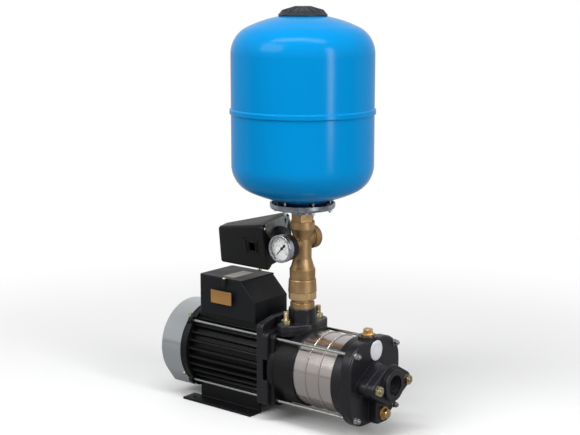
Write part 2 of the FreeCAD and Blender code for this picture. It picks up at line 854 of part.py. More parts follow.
def cable_gland():
    """Plastic gland in the box's rear wall: flange, dome nut, inner nut and through hole."""
    wall = box_start()
    thread = gland_thread() - press_gap
    body = turned_x([(wall - gland_reach, 0), (wall - gland_reach, thread - 1.0, 2.0),
                     (wall - gland_neck, thread + 1.0),
                     (wall, thread + 1.0),
                     (wall, thread), (wall + box_wall + 8.0, thread), (wall + box_wall + 8.0, 0)])
    flange = moved(along_x(hex_bar(gland_hex, 5.0)), x=wall - 5.0)
    cap = moved(along_x(hex_bar(gland_hex - 2.0, 7.0)), x=wall - 13.0)
    nut = moved(along_x(hex_bar(gland_hex, 4.0)), x=wall + box_wall)
    solid = joined([body, flange, cap, nut])
    solid = without(solid, [rod_x(wall - 2.0 * gland_hex, wall + 2.0 * gland_hex, cable_hole_radius)])
    return moved(solid, z=gland_height())


def bracket_slab(start, end, shoulder, high):
    """Block across X in the bracket's outline, with its upper corners and its top at given heights."""
    half, level = flange_half, flange_level
    corners = [(-half, -flange_foot, flange_corner), (-level, -flange_low, flange_blend),
               (level, -flange_low, flange_blend), (half, -flange_foot, flange_corner),
               (half, shoulder, flange_corner), (level, high, flange_blend),
               (-level, high, flange_blend), (-half, shoulder, flange_corner)]
    return moved(outline(corners, plane_yz).extrude(vec(end - start, 0, 0)), x=start)


def motor_bracket():
    """Cast bracket: motor end flange with bearing seat, open lantern with four windows."""
    flange = bracket_slab(housing_front, bracket_end, flange_shoulder, flange_high)
    flange = eased(flange, casting_edge, "X", bracket_end)
    lantern = bracket_slab(bracket_end - casting_edge, lantern_end, lantern_shoulder, lantern_high)
    lantern = eased(lantern, casting_edge, "X", lantern_end)
    spigot = rod_x(housing_front - register_length, housing_front, housing_bore_radius - press_gap)
    hub = rod_x(front_bearing_start(), bracket_end, bearing_hub)
    cuts = [rod_x(bracket_end, lantern_end + 1, lantern_bore)]
    pocket = rod_x(housing_front - register_length - 1, bracket_end - bracket_web, housing_bore_radius - 5.0)
    cuts.append(pocket.cut(rod_x(front_bearing_start(), bracket_end, bearing_hub)))
    cuts.append(rod_x(front_bearing_start() - 1, front_bearing_start() + bearing_width,
                      bearing_radius + press_gap))
    cuts.append(rod_x(front_bearing_start(), bracket_end + 1, shaft_pump_radius + 4.0))
    window = block((bracket_end, lantern_end + 1), (-2 * flange_half, 2 * flange_half),
                   (-window_width / 2.0, window_width / 2.0))
    cuts.append(window)
    cuts.append(turned_by(window, vec(0, 0, 0), vec(1, 0, 0), 90))
    for y, z in square_corners(rod_half):
        cuts.append(rod_x(housing_front - 1, bracket_end - 2.0, bolt_radius + press_gap, y, z))
        cuts.append(rod_x(lantern_end - 8.0, lantern_end + 1, tie_rod_radius + press_gap, y, z))
    return moved(without(joined([flange, lantern, spigot, hub]), cuts), z=shaft_height)


def discharge_oval(thickness):
    return oval_plate(discharge_bolt_offset, discharge_end_radius, discharge_middle_radius, thickness)


def at_discharge(shape, level):
    """Turns a piece of the discharge flange joint to the line of its bolts and sets it at a height."""
    return moved(turned_by(shape, vec(0, 0, 0), vec(0, 0, 1), -discharge_turn), discharge_x, 0, level)


def discharge_casing():
    """Cast casing: round flange with four ears, drum, seal wall and the oval discharge pad on top."""
    flange = eased(rod_x(lantern_end, drum_start, flange_half), casting_edge, "X", drum_start)
    ears = rounded_slab(rod_half + casing_ear, rod_half + casing_ear, casing_ear, lantern_end, drum_start)
    ears = eased(ears, casting_edge, "X", drum_start)
    drum = rod_x(drum_start, stages_start, casing_radius)
    boss = rod_z(0, discharge_rise, discharge_middle_radius - 4.0, discharge_x)
    pad = at_discharge(eased(discharge_oval(discharge_pad), casting_edge, "Z", 0.0),
                       discharge_rise - discharge_pad)
    body = joined([flange, ears, drum, boss, pad])
    cavity = casing_radius - casing_wall
    cuts = [rod_x(lantern_end + casing_wall, stages_start + 1, cavity)]
    behind = (lantern_end - discharge_middle_radius, lantern_end)
    cuts.append(block(behind, (-casing_radius, casing_radius), (0, 2.0 * lantern_high)))
    cuts.append(rod_x(stages_start - register_length, stages_start + 1, sleeve_radius + press_gap))
    cuts.append(rod_x(lantern_end - 1, lantern_end + casing_wall + 1, seal_bore()))
    cuts.append(rod_z(0, discharge_rise + 1, discharge_bore, discharge_x))
    for y, z in square_corners(rod_half):
        cuts.append(rod_x(lantern_end - 1, drum_start + 1, tie_rod_radius + press_gap, y, z))
    for side in (-1, 1):
        hole = rod_z(-1, discharge_pad + 1, stud_radius + press_gap, 0, side * discharge_bolt_offset)
        cuts.append(at_discharge(hole, discharge_rise - discharge_pad))
    cuts.append(block((lantern_end - 1, drum_start + 1), (-flange_half, flange_half),
                      (discharge_rise, flange_half + 1)))
    return moved(without(body, cuts), z=shaft_height)


def seal_bore():
    return shaft_pump_radius + 8.0


def seal_seat():
    """Ceramic seat ring pressed into the casing's rear wall."""
    start = lantern_end
    end = start + casing_wall
    return moved(turned_x([(start, shaft_pump_radius + 1.0), (start, seal_bore() - press_gap),
                           (end, seal_bore() - press_gap), (end, shaft_pump_radius + 1.0)]), z=shaft_height)


def seal_head():
    """Rotating half of the shaft seal: carbon face and bellows on the shaft."""
    start = lantern_end + casing_wall + free_gap
    bore = shaft_pump_radius + press_gap
    profile = [(start, bore), (start, bore + 4.0), (start + 3.0, bore + 4.0), (start + 3.0, bore + 7.0),
               (start + 9.0, bore + 5.0), (start + 16.0, bore + 7.0), (start + 16.0, bore)]
    return moved(turned_x(profile), z=shaft_height)


def flange_gaskets():
    """Two oval gaskets, one under each port flange."""
    upper = discharge_oval(gasket_thickness)
    lower = oval_plate(suction_bolt_offset, suction_end_radius, suction_middle_radius, gasket_thickness)
    pieces = []
    for plate, bore, offset in ((upper, discharge_bore, discharge_bolt_offset),
                                (lower, suction_bore(), suction_bolt_offset)):
        cuts = [rod_z(-1, gasket_thickness + 1, bore)]
        cuts += [rod_z(-1, gasket_thickness + 1, stud_radius + press_gap, 0, side * offset)
                 for side in (-1, 1)]
        pieces.append(without(plate, cuts))
    upper_place = at_discharge(pieces[0], discharge_height)
    lower_place = moved(along_x(pieces[1]), pad_face, 0, shaft_height)
    return Part.makeCompound([upper_place, lower_place])


def suction_bore():
    return suction_thread_radius - 1.5


def port_flange(plate, bore, thread, depth, hub, hub_radius, offset):
    """Oval flange with a threaded hub, standing on z = 0."""
    height = hub
    top = plate.BoundBox.ZLength
    plate = eased(plate, casting_edge, "Z", top)
    barrel = eased(rod_z(0, top + height, hub_radius), casting_edge / 2.0, "Z", top + height)
    cuts = [rod_z(-1, top + height + 1, bore), rod_z(top + height - depth, top + height + 1, thread)]
    cuts += [rod_z(-1, top + height + 1, stud_radius + press_gap, 0, side * offset) for side in (-1, 1)]
    body = joined([plate, barrel])
    return without(body, cuts)


def discharge_flange():
    piece = port_flange(discharge_oval(discharge_plate), discharge_bore, stack_thread_radius, neck_hub,
                        neck_hub, neck_radius, discharge_bolt_offset)
    return at_discharge(piece, flange_seat)


def suction_flange():
    plate = oval_plate(suction_bolt_offset, suction_end_radius, suction_middle_radius, suction_plate)
    piece = port_flange(plate, suction_bore(), suction_thread_radius, suction_thread_length,
                        suction_hub_length, suction_hub_radius, suction_bolt_offset)
    return moved(along_x(piece), pad_face + gasket_thickness, 0, shaft_height)


def flange_studs():
    """Four studs, two in each port flange."""
    studs = []
    low = discharge_height - discharge_pad
    high = flange_seat + discharge_plate + stud_nut_height + stud_end
    for side in (-1, 1):
        studs.append(at_discharge(rod_z(0, high - low, stud_radius, 0, side * discharge_bolt_offset), low))
    end = suction_face + stud_nut_height + suction_stud_end
    for side in (-1, 1):
        studs.append(rod_x(pad_face - suction_pad + 5.0, end, stud_radius, side * suction_bolt_offset,
                           shaft_height))
    return Part.makeCompound(studs)


def flange_nuts():
    """Four nuts on the port flange studs."""
    nut = hex_piece(stud_hex, stud_nut_height, stud_radius + press_gap)
    nuts = [at_discharge(moved(nut, y=side * discharge_bolt_offset), flange_seat + discharge_plate)
            for side in (-1, 1)]
    nuts += [moved(along_x(nut), suction_face, side * suction_bolt_offset, shaft_height) for side in (-1, 1)]
    return Part.makeCompound(nuts)


def stage_start(index):
    return stages_start + index * stage_length


def stage_sleeve(index):
    """Stainless stage sleeve with a rolled bead at its suction end and a lapped joint."""
    start = stage_start(index)
    end = start + stage_length
    outer = sleeve_radius
    inner = outer - sleeve_wall
    last = index == stage_count - 1
    tail = start - register_length if index == 0 else start
    points = [(tail, inner), (tail, outer)]
    if not last:
        points += [(end - bead_width, outer), (end - bead_width, outer + bead_height, 0.8),
                   (end, outer + bead_height, 0.8), (end, inner)]
    else:
        points += [(end + register_length, outer), (end + register_length, inner)]
    return moved(turned_x(points), z=shaft_height)


def diffusers():
    """Three diffuser plates with return vanes, one in each sleeve."""
    pieces = []
    outer = sleeve_radius - sleeve_wall - press_gap
    bore = shaft_pump_radius + 3.0
    for index in range(stage_count):
        start = stage_start(index)
        plate = rod_x(start, start + diffuser_plate, outer)
        rim = rod_x(start, start + stage_length - free_gap, outer)
        rim = rim.cut(rod_x(start, start + stage_length, outer - 2.0))
        shape = joined([plate, rim] + return_vanes(start + diffuser_plate))
        pieces.append(moved(shape.cut(rod_x(start - 1, start + stage_length, bore)), z=shaft_height))
    return Part.makeCompound(pieces)


def return_vanes(start):
    """Curved vanes that lead the water back to the next eye."""
    return curved_vanes(start, start + 7.0, impeller_eye, sleeve_radius - sleeve_wall - 1.5, -1.0)


def curved_vanes(start, end, inner, outer, sense):
    """Ring of arc shaped vanes across X between two radii."""
    span = outer - inner
    bow = sense * span * 0.22
    half = vane_thickness / 2.0
    middle = (inner + outer) / 2.0
    edges = [Part.Arc(vec(0, -half, inner), vec(0, bow - half, middle), vec(0, -half, outer)).toShape(),
             Part.makeLine(vec(0, -half, outer), vec(0, half, outer)),
             Part.Arc(vec(0, half, outer), vec(0, bow + half, middle), vec(0, half, inner)).toShape(),
             Part.makeLine(vec(0, half, inner), vec(0, -half, inner))]
    vane = moved(Part.Face(Part.Wire(edges)).extrude(vec(end - start, 0, 0)), x=start)
    return [turned_by(vane, vec(0, 0, 0), vec(1, 0, 0), 360.0 * i / vane_count) for i in range(vane_count)]


def impellers():
    """Three closed impellers, eye towards the suction side, clamped on the shaft."""
    pieces = []
    bore = shaft_pump_radius + press_gap
    for index in range(stage_count):
        back = stage_start(index) + stage_length - impeller_width - 4.0
        front = back + impeller_width
        hub = rod_x(back - 2.0, front, shaft_pump_radius + 4.0)
        back_disc = rod_x(back, back + shroud_thickness, impeller_radius)
        front_disc = turned_x([(front - shroud_thickness, impeller_eye),
                               (front - shroud_thickness, impeller_radius),
                               (front, impeller_radius), (front, impeller_eye + 2.0),
                               (front + 2.5, impeller_eye + 2.0), (front + 2.5, impeller_eye)])
        vanes = curved_vanes(back, front, shaft_pump_radius + 3.0, impeller_radius - 0.5, 1.0)
        shape = joined([hub, back_disc, front_disc] + vanes)
        pieces.append(moved(shape.cut(rod_x(back - 3, front + 3, bore)), z=shaft_height))
    return Part.makeCompound(pieces)


def tie_rods():
    """Four rods that clamp the stages between the casing and the suction cover."""
    start = lantern_end - 8.0
    end = cover_face + washer_thickness + tie_nut_height + 3.0
    rods = [rod_x(start, end, tie_rod_radius, y, z) for y, z in square_corners(rod_half)]
    return moved(Part.makeCompound(rods), z=shaft_height)


def tie_rod_nuts():
    """A nut and a washer on each tie rod."""
    nut = along_x(hex_piece(tie_nut_hex, tie_nut_height, tie_rod_radius + press_gap))
    ring = along_x(rod_z(0, washer_thickness, washer_radius).cut(rod_z(-1, 3, tie_rod_radius + press_gap)))
    pieces = []
    for y, z in square_corners(rod_half):
        pieces.append(moved(ring, cover_face, y, z + shaft_height))
        pieces.append(moved(nut, cover_face + washer_thickness, y, z + shaft_height))
    return Part.makeCompound(pieces)


def suction_cover():
    """Cast end cover: round rim, square body, oval suction pad, priming boss, drain boss."""
    rim = rod_x(stages_end, body_start, cover_rim_radius)
    body = rounded_slab(cover_half, cover_half, cover_corner, body_start, cover_face)
    body = eased(eased(body, cover_edge, "X", cover_face), casting_edge, "X", body_start)
    pad = oval_plate(suction_bolt_offset, suction_end_radius, suction_middle_radius, suction_pad)
    pad = moved(along_x(eased(pad, casting_edge, "Z", suction_pad)), x=cover_face)
    priming = rod_z(0, priming_boss_rise, priming_boss_radius, priming_x)
    half = drain_width / 2.0
    corners = [(-half, -drain_head), (-half, -drain_foot, 8.0), (half, -drain_foot, 8.0), (half, -drain_head)]
    drain = outline(corners, plane_yz)
    drain = moved(eased(drain.extrude(vec(drain_depth, 0, 0)), casting_edge, "X", drain_depth), x=cover_face)
    shape = joined([rim, body, pad, priming, drain])
    cavity = cover_rim_radius - cover_wall
    cuts = [rod_x(stages_end - 1, cover_face - cover_wall, cavity)]
    inner = cover_half - cover_wall
    pocket = rounded_slab(inner, inner, cover_corner - cover_wall, body_start - 1, cover_face - cover_wall)
    kept = [rod_x(body_start - 2, cover_face, cover_rim_radius)]
    kept += [rod_x(body_start - 2, cover_face, cover_rod_boss, y, z) for y, z in square_corners(rod_half)]
    cuts.append(pocket.cut(joined(kept + [priming])))
    cuts.append(rod_x(stages_end - 1, stages_end + register_length, sleeve_radius + press_gap))
    cuts.append(rod_x(cover_face - cover_wall - 1, pad_face + 1, suction_bore()))
    cuts.append(rod_z(0, priming_boss_rise + 1, plug_thread_radius + running_gap, priming_x))
    drain_face = cover_face + drain_depth
    cuts.append(rod_x(cover_face - cover_wall - 1, drain_face + 1, plug_thread_radius + running_gap, 0,
                      -drain_drop))
    for y, z in square_corners(rod_half):
        cuts.append(rod_x(stages_end - 1, cover_face + 1, tie_rod_radius + press_gap, y, z))
    for side in (-1, 1):
        cuts.append(rod_x(pad_face - suction_pad + 5.0, pad_face + 1, stud_radius + press_gap,
                          side * suction_bolt_offset, 0))
    return moved(without(shape, cuts), z=shaft_height)


def plug():
    """Hexagon head plug with a flange, seated on z = 0 with its shank below."""
    flange = rod_z(0, plug_flange_height, plug_flange_radius)
    corner = plug_hex / 2.0 / math.cos(math.pi / 6.0)
    top = plug_flange_height + plug_hex_height
    crown = turned_z([(0, 0), (corner, 0), (corner, top - 1.5), (corner - 1.8, top), (0, top)])
    head = hex_bar(plug_hex, top).common(crown)
    shank = rod_z(-plug_shank, 0, plug_thread_radius)
    return joined([flange, head, shank])


def priming_plug():
    return moved(plug(), priming_x, 0, shaft_height + priming_boss_rise + free_gap)


def drain_plug():
    return moved(along_x(plug()), cover_face + drain_depth + free_gap, 0, shaft_height - drain_drop)


def on_stack(shape):
    """Puts a piece that was turned about Z on the discharge axis."""
    return moved(shape, x=discharge_x)


def union_nipple():
    """Brass nipple screwed into the discharge neck, with the union's tail on top."""
    collar = neck_top + nipple_height
    tail_top = valve_low - press_gap
    foot = flange_seat + discharge_plate + 1.0
    thread = stack_thread_radius - press_gap
    profile = [(tee_bore, foot), (thread, foot), (thread, neck_top), (nipple_radius, neck_top),
               (nipple_radius, collar - 1.5), (nipple_radius - 1.5, collar), (tail_radius, collar),
               (tail_radius, tail_top - tail_thickness), (tail_flange_radius, tail_top - tail_thickness),
               (tail_flange_radius, tail_top), (tee_bore, tail_top)]
    return on_stack(turned_z(profile))


def union_nut():
    """Octagonal union nut that pulls the nipple's tail against the check valve."""
    low = union_nut_low
    high = low + union_nut_height
    lip_top = valve_low - tail_thickness - 2.0 * press_gap
    corner = union_nut_radius
    barrel = turned_z([(tail_radius + press_gap, low), (corner - 2.0, low), (corner, low + 2.0),
                       (corner, high - 1.5),
                       (corner - 1.5, high), (valve_thread_radius() + press_gap, high),
                       (valve_thread_radius() + press_gap, lip_top), (tail_radius + press_gap, lip_top)])
    reach = union_nut_flats / 2.0 / math.cos(math.pi / 8.0)
    corners = [(reach * math.cos(math.pi * (2 * i + 1) / 8.0), reach * math.sin(math.pi * (2 * i + 1) / 8.0))
               for i in range(8)]
    prism = moved(outline(corners, plane_xy).extrude(vec(0, 0, union_nut_height)), z=low)
    return on_stack(barrel.common(prism))


def valve_thread_radius():
    return tail_flange_radius + 0.6


def check_valve_body():
    """Spring check valve body with its seat, chamber and the spider that guides the poppet."""
    thread_top = valve_top + valve_thread
    socket = tee_socket_radius - 5.0 - press_gap
    nut_top = union_nut_low + union_nut_height + press_gap
    profile = [(valve_seat_radius, valve_low), (valve_thread_radius(), valve_low),
               (valve_thread_radius(), nut_top),
               (union_nut_radius, nut_top), (tee_socket_radius + 0.8, valve_top - 2.0),
               (tee_socket_radius, valve_top),
               (socket, valve_top), (socket, thread_top), (valve_chamber_radius, thread_top),
               (valve_chamber_radius, valve_seat_height), (valve_seat_radius, valve_seat_height)]
    body = turned_z(profile)
    spider_low = thread_top - 5.0
    arms = [block((-valve_chamber_radius - 1, valve_chamber_radius + 1), (-1.5, 1.5),
                  (spider_low, thread_top))]
    arms.append(turned_by(arms[0], vec(0, 0, 0), vec(0, 0, 1), 90))
    hub = rod_z(spider_low, thread_top, poppet_stem_radius + 2.5)
    hole = rod_z(spider_low - 1, thread_top + 1, poppet_stem_radius + running_gap)
    return on_stack(without(joined([body, hub] + arms), [hole]))


def check_valve_poppet():
    """Poppet with a seal disc, raised by the flow, and a stem through the spider."""
    seat = valve_seat_height + free_gap
    stem_top = valve_top + valve_thread + 4.0
    profile = [(0, seat), (poppet_radius, seat), (poppet_radius, seat + 3.0),
               (poppet_stem_radius + 2.0, seat + 5.0),
               (poppet_stem_radius, seat + 5.0), (poppet_stem_radius, stem_top), (0, stem_top)]
    return on_stack(turned_z(profile))


def check_valve_spring():
    """Coil spring between the poppet and the spider."""
    low = valve_seat_height + free_gap + 5.0 + spring_wire
    high = valve_top + valve_thread - 5.0 - spring_wire - press_gap
    helix = Part.makeHelix((high - low) / spring_turns, high - low, spring_radius)
    section = Part.Wire(Part.Circle(vec(spring_radius, 0, 0), vec(0, 1, 0), spring_wire).toShape())
    coil = Part.Wire(helix).makePipeShell([section], True, True)
    return on_stack(moved(coil, z=low))


def five_way_tee():
    """Brass manifold: bottom and top sockets, rear outlet, gauge port and switch port."""
    low = valve_top + press_gap
    socket = tee_socket_radius - 5.0
    ledge = valve_top + valve_thread + press_gap
    outer = [(socket, low), (tee_socket_radius - 1.0, low), (tee_socket_radius - 0.6, tee_shoulder),
             (tee_socket_radius - 3.2, tee_shoulder + 5.0), (tee_body_radius, tee_shoulder + 21.0),
             (tee_body_radius, outlet_height), (tee_body_radius + 2.4, outlet_height + 10.0),
             (tee_head_radius, tee_top - 14.0), (tee_head_radius, tee_top), (0, tee_top), (0, ledge),
             (socket, ledge)]
    body = turned_z(outer)
    branch = rod_y(0, outlet_reach, outlet_radius - 4.0, 0, outlet_height)
    collar = rod_y(outlet_reach - 15.0, outlet_reach, outlet_radius, 0, outlet_height)
    gauge_port = rod_y(-port_reach, 0, port_radius, 0, gauge_height)
    switch_port = rod_x(-port_reach, 0, port_radius, 0, switch_height)
    shape = joined([body, branch, collar, gauge_port, switch_port])
    cuts = [rod_z(low - 1, tee_top + 1, tee_bore),
            rod_z(tee_top - nipple_engagement(), tee_top + 1, stack_thread_radius)]
    cuts.append(rod_y(0, outlet_reach + 1, tee_bore - 1.0, 0, outlet_height))
    cuts.append(rod_y(outlet_reach - outlet_thread_length, outlet_reach + 1, outlet_thread_radius, 0,
                      outlet_height))
    cuts.append(rod_y(-port_reach - 1, 0, port_thread_radius, 0, gauge_height))
    cuts.append(rod_x(-port_reach - 1, 0, port_thread_radius, 0, switch_height))
    return on_stack(without(shape, cuts))


def nipple_engagement():
    return 15.0


def tank_nipple():
    """Brass hexagon nipple between the manifold and the tank's flange."""
    hexagon = moved(hex_bar(tank_nipple_hex, tank_nipple_hex_height), z=tee_top)
    thread = rod_z(tee_top - nipple_engagement() + 0.5, lip_seat - 1.0, stack_thread_radius - press_gap)
    bore = rod_z(tee_top - 2.0 * nipple_engagement(), lip_seat, tee_bore - 1.0)
    return on_stack(without(joined([hexagon, thread]), [bore]))


def gauge_front():
    return -gauge_reach


def at_gauge(shape):
    """Turns a piece from z = 0 at the gauge's front, depth along -z, into its place."""
    return moved(along_minus_y(shape), discharge_x, gauge_front(), gauge_height)


def gauge_case_back():
    return -(bezel_depth - 2.0) - gauge_case_depth


def gauge_case():
    """Pressed case with a wrench hexagon and the stem screwed into the manifold."""
    front = -(bezel_depth - 2.0)
    back = gauge_case_back()
    outer = turned_z([(0, back), (gauge_case_radius, back, 2.0), (gauge_case_radius, front), (0, front)])
    room = rod_z(back + gauge_wall, front + 1, gauge_case_radius - gauge_wall)
    port_end = -(gauge_reach - port_reach) + press_gap
    hexagon = moved(hex_bar(gauge_hex, back - port_end), z=port_end)
    stem = rod_z(port_end - 12.0, port_end, port_thread_radius - press_gap)
    pivot = rod_z(back, dial_level(), 2.5)
    shell = joined([outer.cut(room), hexagon, stem, pivot])
    return at_gauge(without(shell, [rod_z(back + 4.0, 0, 0.8 + running_gap)]))


def dial_level():
    return -bezel_depth + 2.0


def gauge_bezel():
    """Bezel ring rolled over the case, holding the glass."""
    inner = gauge_case_radius + press_gap
    lip = dial_radius - 1.0
    profile = [(lip, 0), (bezel_radius, 0, 1.5), (bezel_radius, -bezel_depth), (inner, -bezel_depth),
               (inner, -gauge_wall - glass_thickness), (inner, -gauge_wall), (lip, -gauge_wall)]
    return at_gauge(turned_z(profile))


def gauge_glass():
    low = -gauge_wall - glass_thickness
    return at_gauge(rod_z(low, -gauge_wall - press_gap / 2.0, gauge_case_radius - press_gap))


def gauge_dial():
    """Dial plate across the mouth of the case."""
    plate = rod_z(dial_level(), dial_level() + 0.8, gauge_case_radius - press_gap)
    return at_gauge(plate.cut(rod_z(dial_level() - 1, dial_level() + 2, 0.8 + running_gap)))


def gauge_pointer():
    """Pointer with its counterweight tail and the spindle through the dial."""
    low = dial_level() + 0.8 + free_gap
    half_tip = 0.35
    arm = outline([(-1.3, 0), (-half_tip, pointer_length), (half_tip, pointer_length), (1.3, 0),
                   (1.6, -pointer_tail), (-1.6, -pointer_tail)], plane_xy)
    arm = moved(arm.extrude(vec(0, 0, 0.7)), z=low)
    hub = rod_z(low, low + 1.4, 2.6)
    spindle = rod_z(gauge_case_back() + 4.5, low, 0.8)
    piece = joined([arm, hub, spindle])
    return at_gauge(turned_by(piece, vec(0, 0, 0), vec(0, 0, 1), -pointer_zero))


def at_switch(shape):
    """Puts a piece drawn about the switch's own axis, x measured in the set's frame."""
    return moved(turned_by(shape, vec(0, 0, 0), vec(1, 0, 0), switch_roll), z=switch_height)


def switch_inlet_front():
    """X where the switch's round inlet housing ends towards the stack."""
    return discharge_x - port_reach - switch_stem_length


def switch_base_front():
    return switch_inlet_front() - switch_inlet_depth - bracket_sheet


def switch_cover_start():
    return switch_base_front() - switch_base_depth


def switch_inlet():
    """Diaphragm housing with the hexagon and thread that screw into the manifold."""
    front = switch_inlet_front()
    back = front - switch_inlet_depth
    port = discharge_x - port_reach - press_gap
    profile = [(back, 0), (back, switch_inlet_radius, 1.5), (back + 5.0, switch_inlet_radius, 1.5),
               (back + 7.0, switch_inlet_radius - 8.0), (front, 12.0), (front, 0)]
    housing = turned_x(profile)
    hexagon = moved(along_x(hex_bar(2.0 * port_radius, port - front)), x=front)
    thread = rod_x(port, port + 12.0, port_thread_radius - press_gap)
    bore = rod_x(back + 4.0, port + 13.0, 2.5)
    return at_switch(without(joined([housing, hexagon, thread]), [bore]))


def switch_bracket():
    """Zinc plated bracket plate with a slot, clamped behind the inlet housing."""
    front = switch_inlet_front() - switch_inlet_depth
    back = front - bracket_sheet
    top = switch_depth / 2.0
    side = switch_width / 2.0
    points = [(-side + 10.0, top, 3.0), (side - 13.0, top, 5.0), (side - 7.0, top - 12.0, 5.0),
              (switch_inlet_radius * 0.6, 4.0, 8.0), (switch_inlet_radius * 0.6, -18.0, 8.0),
              (-switch_inlet_radius * 0.6, -18.0, 8.0), (-switch_inlet_radius * 0.6, 4.0, 8.0),
              (-side + 10.0, top - 16.0, 4.0)]
    plate = moved(outline(points, plane_yz).extrude(vec(bracket_sheet, 0, 0)), x=back)
    key_y, key_z = side - 17.0, top - 9.0
    cuts = [rod_x(back - 1, front + 1, 3.0, key_y, key_z)]
    cuts.append(block((back - 1, front + 1), (key_y - 1.6, key_y + 1.6), (key_z - 7.0, key_z)))
    return at_switch(without(plate, cuts))


def switch_base():
    """Moulded base block of the switch."""
    start = switch_cover_start()
    end = switch_base_front()
    half_y, half_z = switch_width / 2.0, switch_depth / 2.0
    points = [(-half_y, half_z, 8.0), (-half_y, -half_z, 6.0), (-half_y + 8.0, -half_z, 5.0),
              (-half_y + 19.0, -switch_base_low, 5.0), (half_y, -switch_base_low, 8.0), (half_y, half_z, 8.0)]
    slab = moved(outline(points, plane_yz).extrude(vec(end - start, 0, 0)), x=start)
    slab = eased(slab, switch_edge, "X", end)
    pocket = rounded_slab(half_y - 6.0, switch_base_low - 4.0, 4.0, start - 1, end - 5.0)
    return at_switch(slab.cut(pocket))


def switch_cover_solid(inset):
    """Cover form: its side view and its plan, each drawn inwards by the wall, in common."""
    start = switch_cover_start()
    crown = start - switch_cover_length + inset
    side = switch_width / 2.0 - inset
    top = switch_depth / 2.0 - inset
    round_corner = 6.0 - inset
    foot = crown - switch_crown_lean
    view = [(start, -top), (foot, -switch_crown_low + inset, round_corner + 3.0),
            (crown, switch_crown_high - inset, round_corner), (start, top)]
    plan = [(start, -side), (foot, -side, round_corner),
            (foot, -side + switch_crown_width, round_corner + 8.0),
            (start, side)]
    upright = moved(outline(plan, plane_xy).extrude(vec(0, 0, 2 * switch_depth)), z=-switch_depth)
    level = moved(outline(view, plane_xz).extrude(vec(0, 2 * switch_width, 0)), y=-switch_width)
    return upright.common(level)


def switch_cover():
    """Moulded cover: one straight side, one sloping side, open to the base, with a cable inlet."""
    start = switch_cover_start()
    outer = switch_cover_solid(0.0)
    outer = outer.makeFillet(switch_edge, [edge for edge in outer.Edges if edge.BoundBox.XMin < start - 0.01])
    inner = switch_cover_solid(switch_wall)
    side = switch_width / 2.0
    end = start - cable_slot_offset
    half = cable_slot_width / 2.0
    inlet = block((end - cable_slot_length, end), (-side - 1, -side + switch_wall + 1), (-half, half))
    return at_switch(without(outer, [inner, inlet]))


def lever_pivot():
    """Centre of the lever's pin in the switch's own frame, (x, z)."""
    return switch_cover_start() - 9.0, -20.0


def switch_lever():
    """Rocking lever on its pin, moved by the diaphragm."""
    x, z = lever_pivot()
    plate = block((x - lever_sheet / 2.0, x + lever_sheet / 2.0), (-lever_width / 2.0, lever_width / 2.0),
                  (z, z + lever_length))
    eye = rod_y(-lever_width / 2.0, lever_width / 2.0, lever_pin_radius + 2.0, x, z)
    pin = rod_y(-lever_width / 2.0 - 4.0, lever_width / 2.0 + 4.0, lever_pin_radius, x, z)
    return at_switch(joined([plate, eye, pin]))


def contact_block():
    """Contact carrier on the base, with the two ears that hold the lever's pin."""
    x, z = lever_pivot()
    base = switch_base_front() - 5.0
    ear = lever_width / 2.0 + free_gap
    top = z - carrier_drop
    pieces = [block((x - carrier_length, base), (-ear - 4.0, ear + 4.0), (top - carrier_height, top))]
    for side in (-1, 1):
        pieces.append(block((x - 5.0, base), sorted((side * ear, side * (ear + 4.0))), (z - 8.0, z + 6.0)))
    hole = rod_y(-ear - 5.0, ear + 5.0, lever_pin_radius + running_gap, x, z)
    stop = rod_x(x + 8.0, base, 5.0, 0, z + lever_length / 2.0)
    foot = block((base - 2.0, base), (-ear, ear), (z - 8.0, z + lever_length))
    return at_switch(without(joined(pieces + [stop, foot]), [hole]))


def head_points(sign, level, inset):
    """Arc points of a torispherical head, from the axis out to the straight side."""
    knuckle = tank_knuckle - inset
    crown = tank_crown - inset
    knuckle_r = tank_radius - tank_knuckle
    drop = math.sqrt((tank_crown - tank_knuckle) ** 2 - knuckle_r ** 2)
    centre = level - sign * drop
    lean = math.asin(knuckle_r / (tank_crown - tank_knuckle))
    pole = (0.0, centre + sign * crown)
    half_way = (crown * math.sin(lean / 2.0), centre + sign * crown * math.cos(lean / 2.0))
    joint = (crown * math.sin(lean), centre + sign * crown * math.cos(lean))
    turn = (lean + math.pi / 2.0) / 2.0
    bend = (knuckle_r + knuckle * math.sin(turn), level + sign * knuckle * math.cos(turn))
    side = (tank_radius - inset, level)
    return pole, half_way, joint, bend, side


def head_solid(sign, level, seam, inset):
    """Half of the tank as a full solid, from its pole to the seam."""
    pole, half_way, joint, bend, side = [plane_xz(*p) for p in head_points(sign, level, inset)]
    rim = plane_xz(tank_radius - inset, seam)
    middle = plane_xz(0, seam)
    edges = [Part.Arc(pole, half_way, joint).toShape(), Part.Arc(joint, bend, side).toShape(),
             Part.makeLine(side, rim), Part.makeLine(rim, middle), Part.makeLine(middle, pole)]
    return Part.Face(Part.Wire(edges)).revolve(vec(0, 0, 0), vec(0, 0, 1), 360)


def dome_height(radius):
    """Height of the upper head's outside at a radius on its crown."""
    knuckle_r = tank_radius - tank_knuckle
    drop = math.sqrt((tank_crown - tank_knuckle) ** 2 - knuckle_r ** 2)
    return tank_straight_high - drop + math.sqrt(tank_crown ** 2 - radius ** 2)


def floor_height(radius):
    """Height of the lower head's outside at a radius on its crown."""
    return tank_straight_low + tank_straight_high - dome_height(radius)


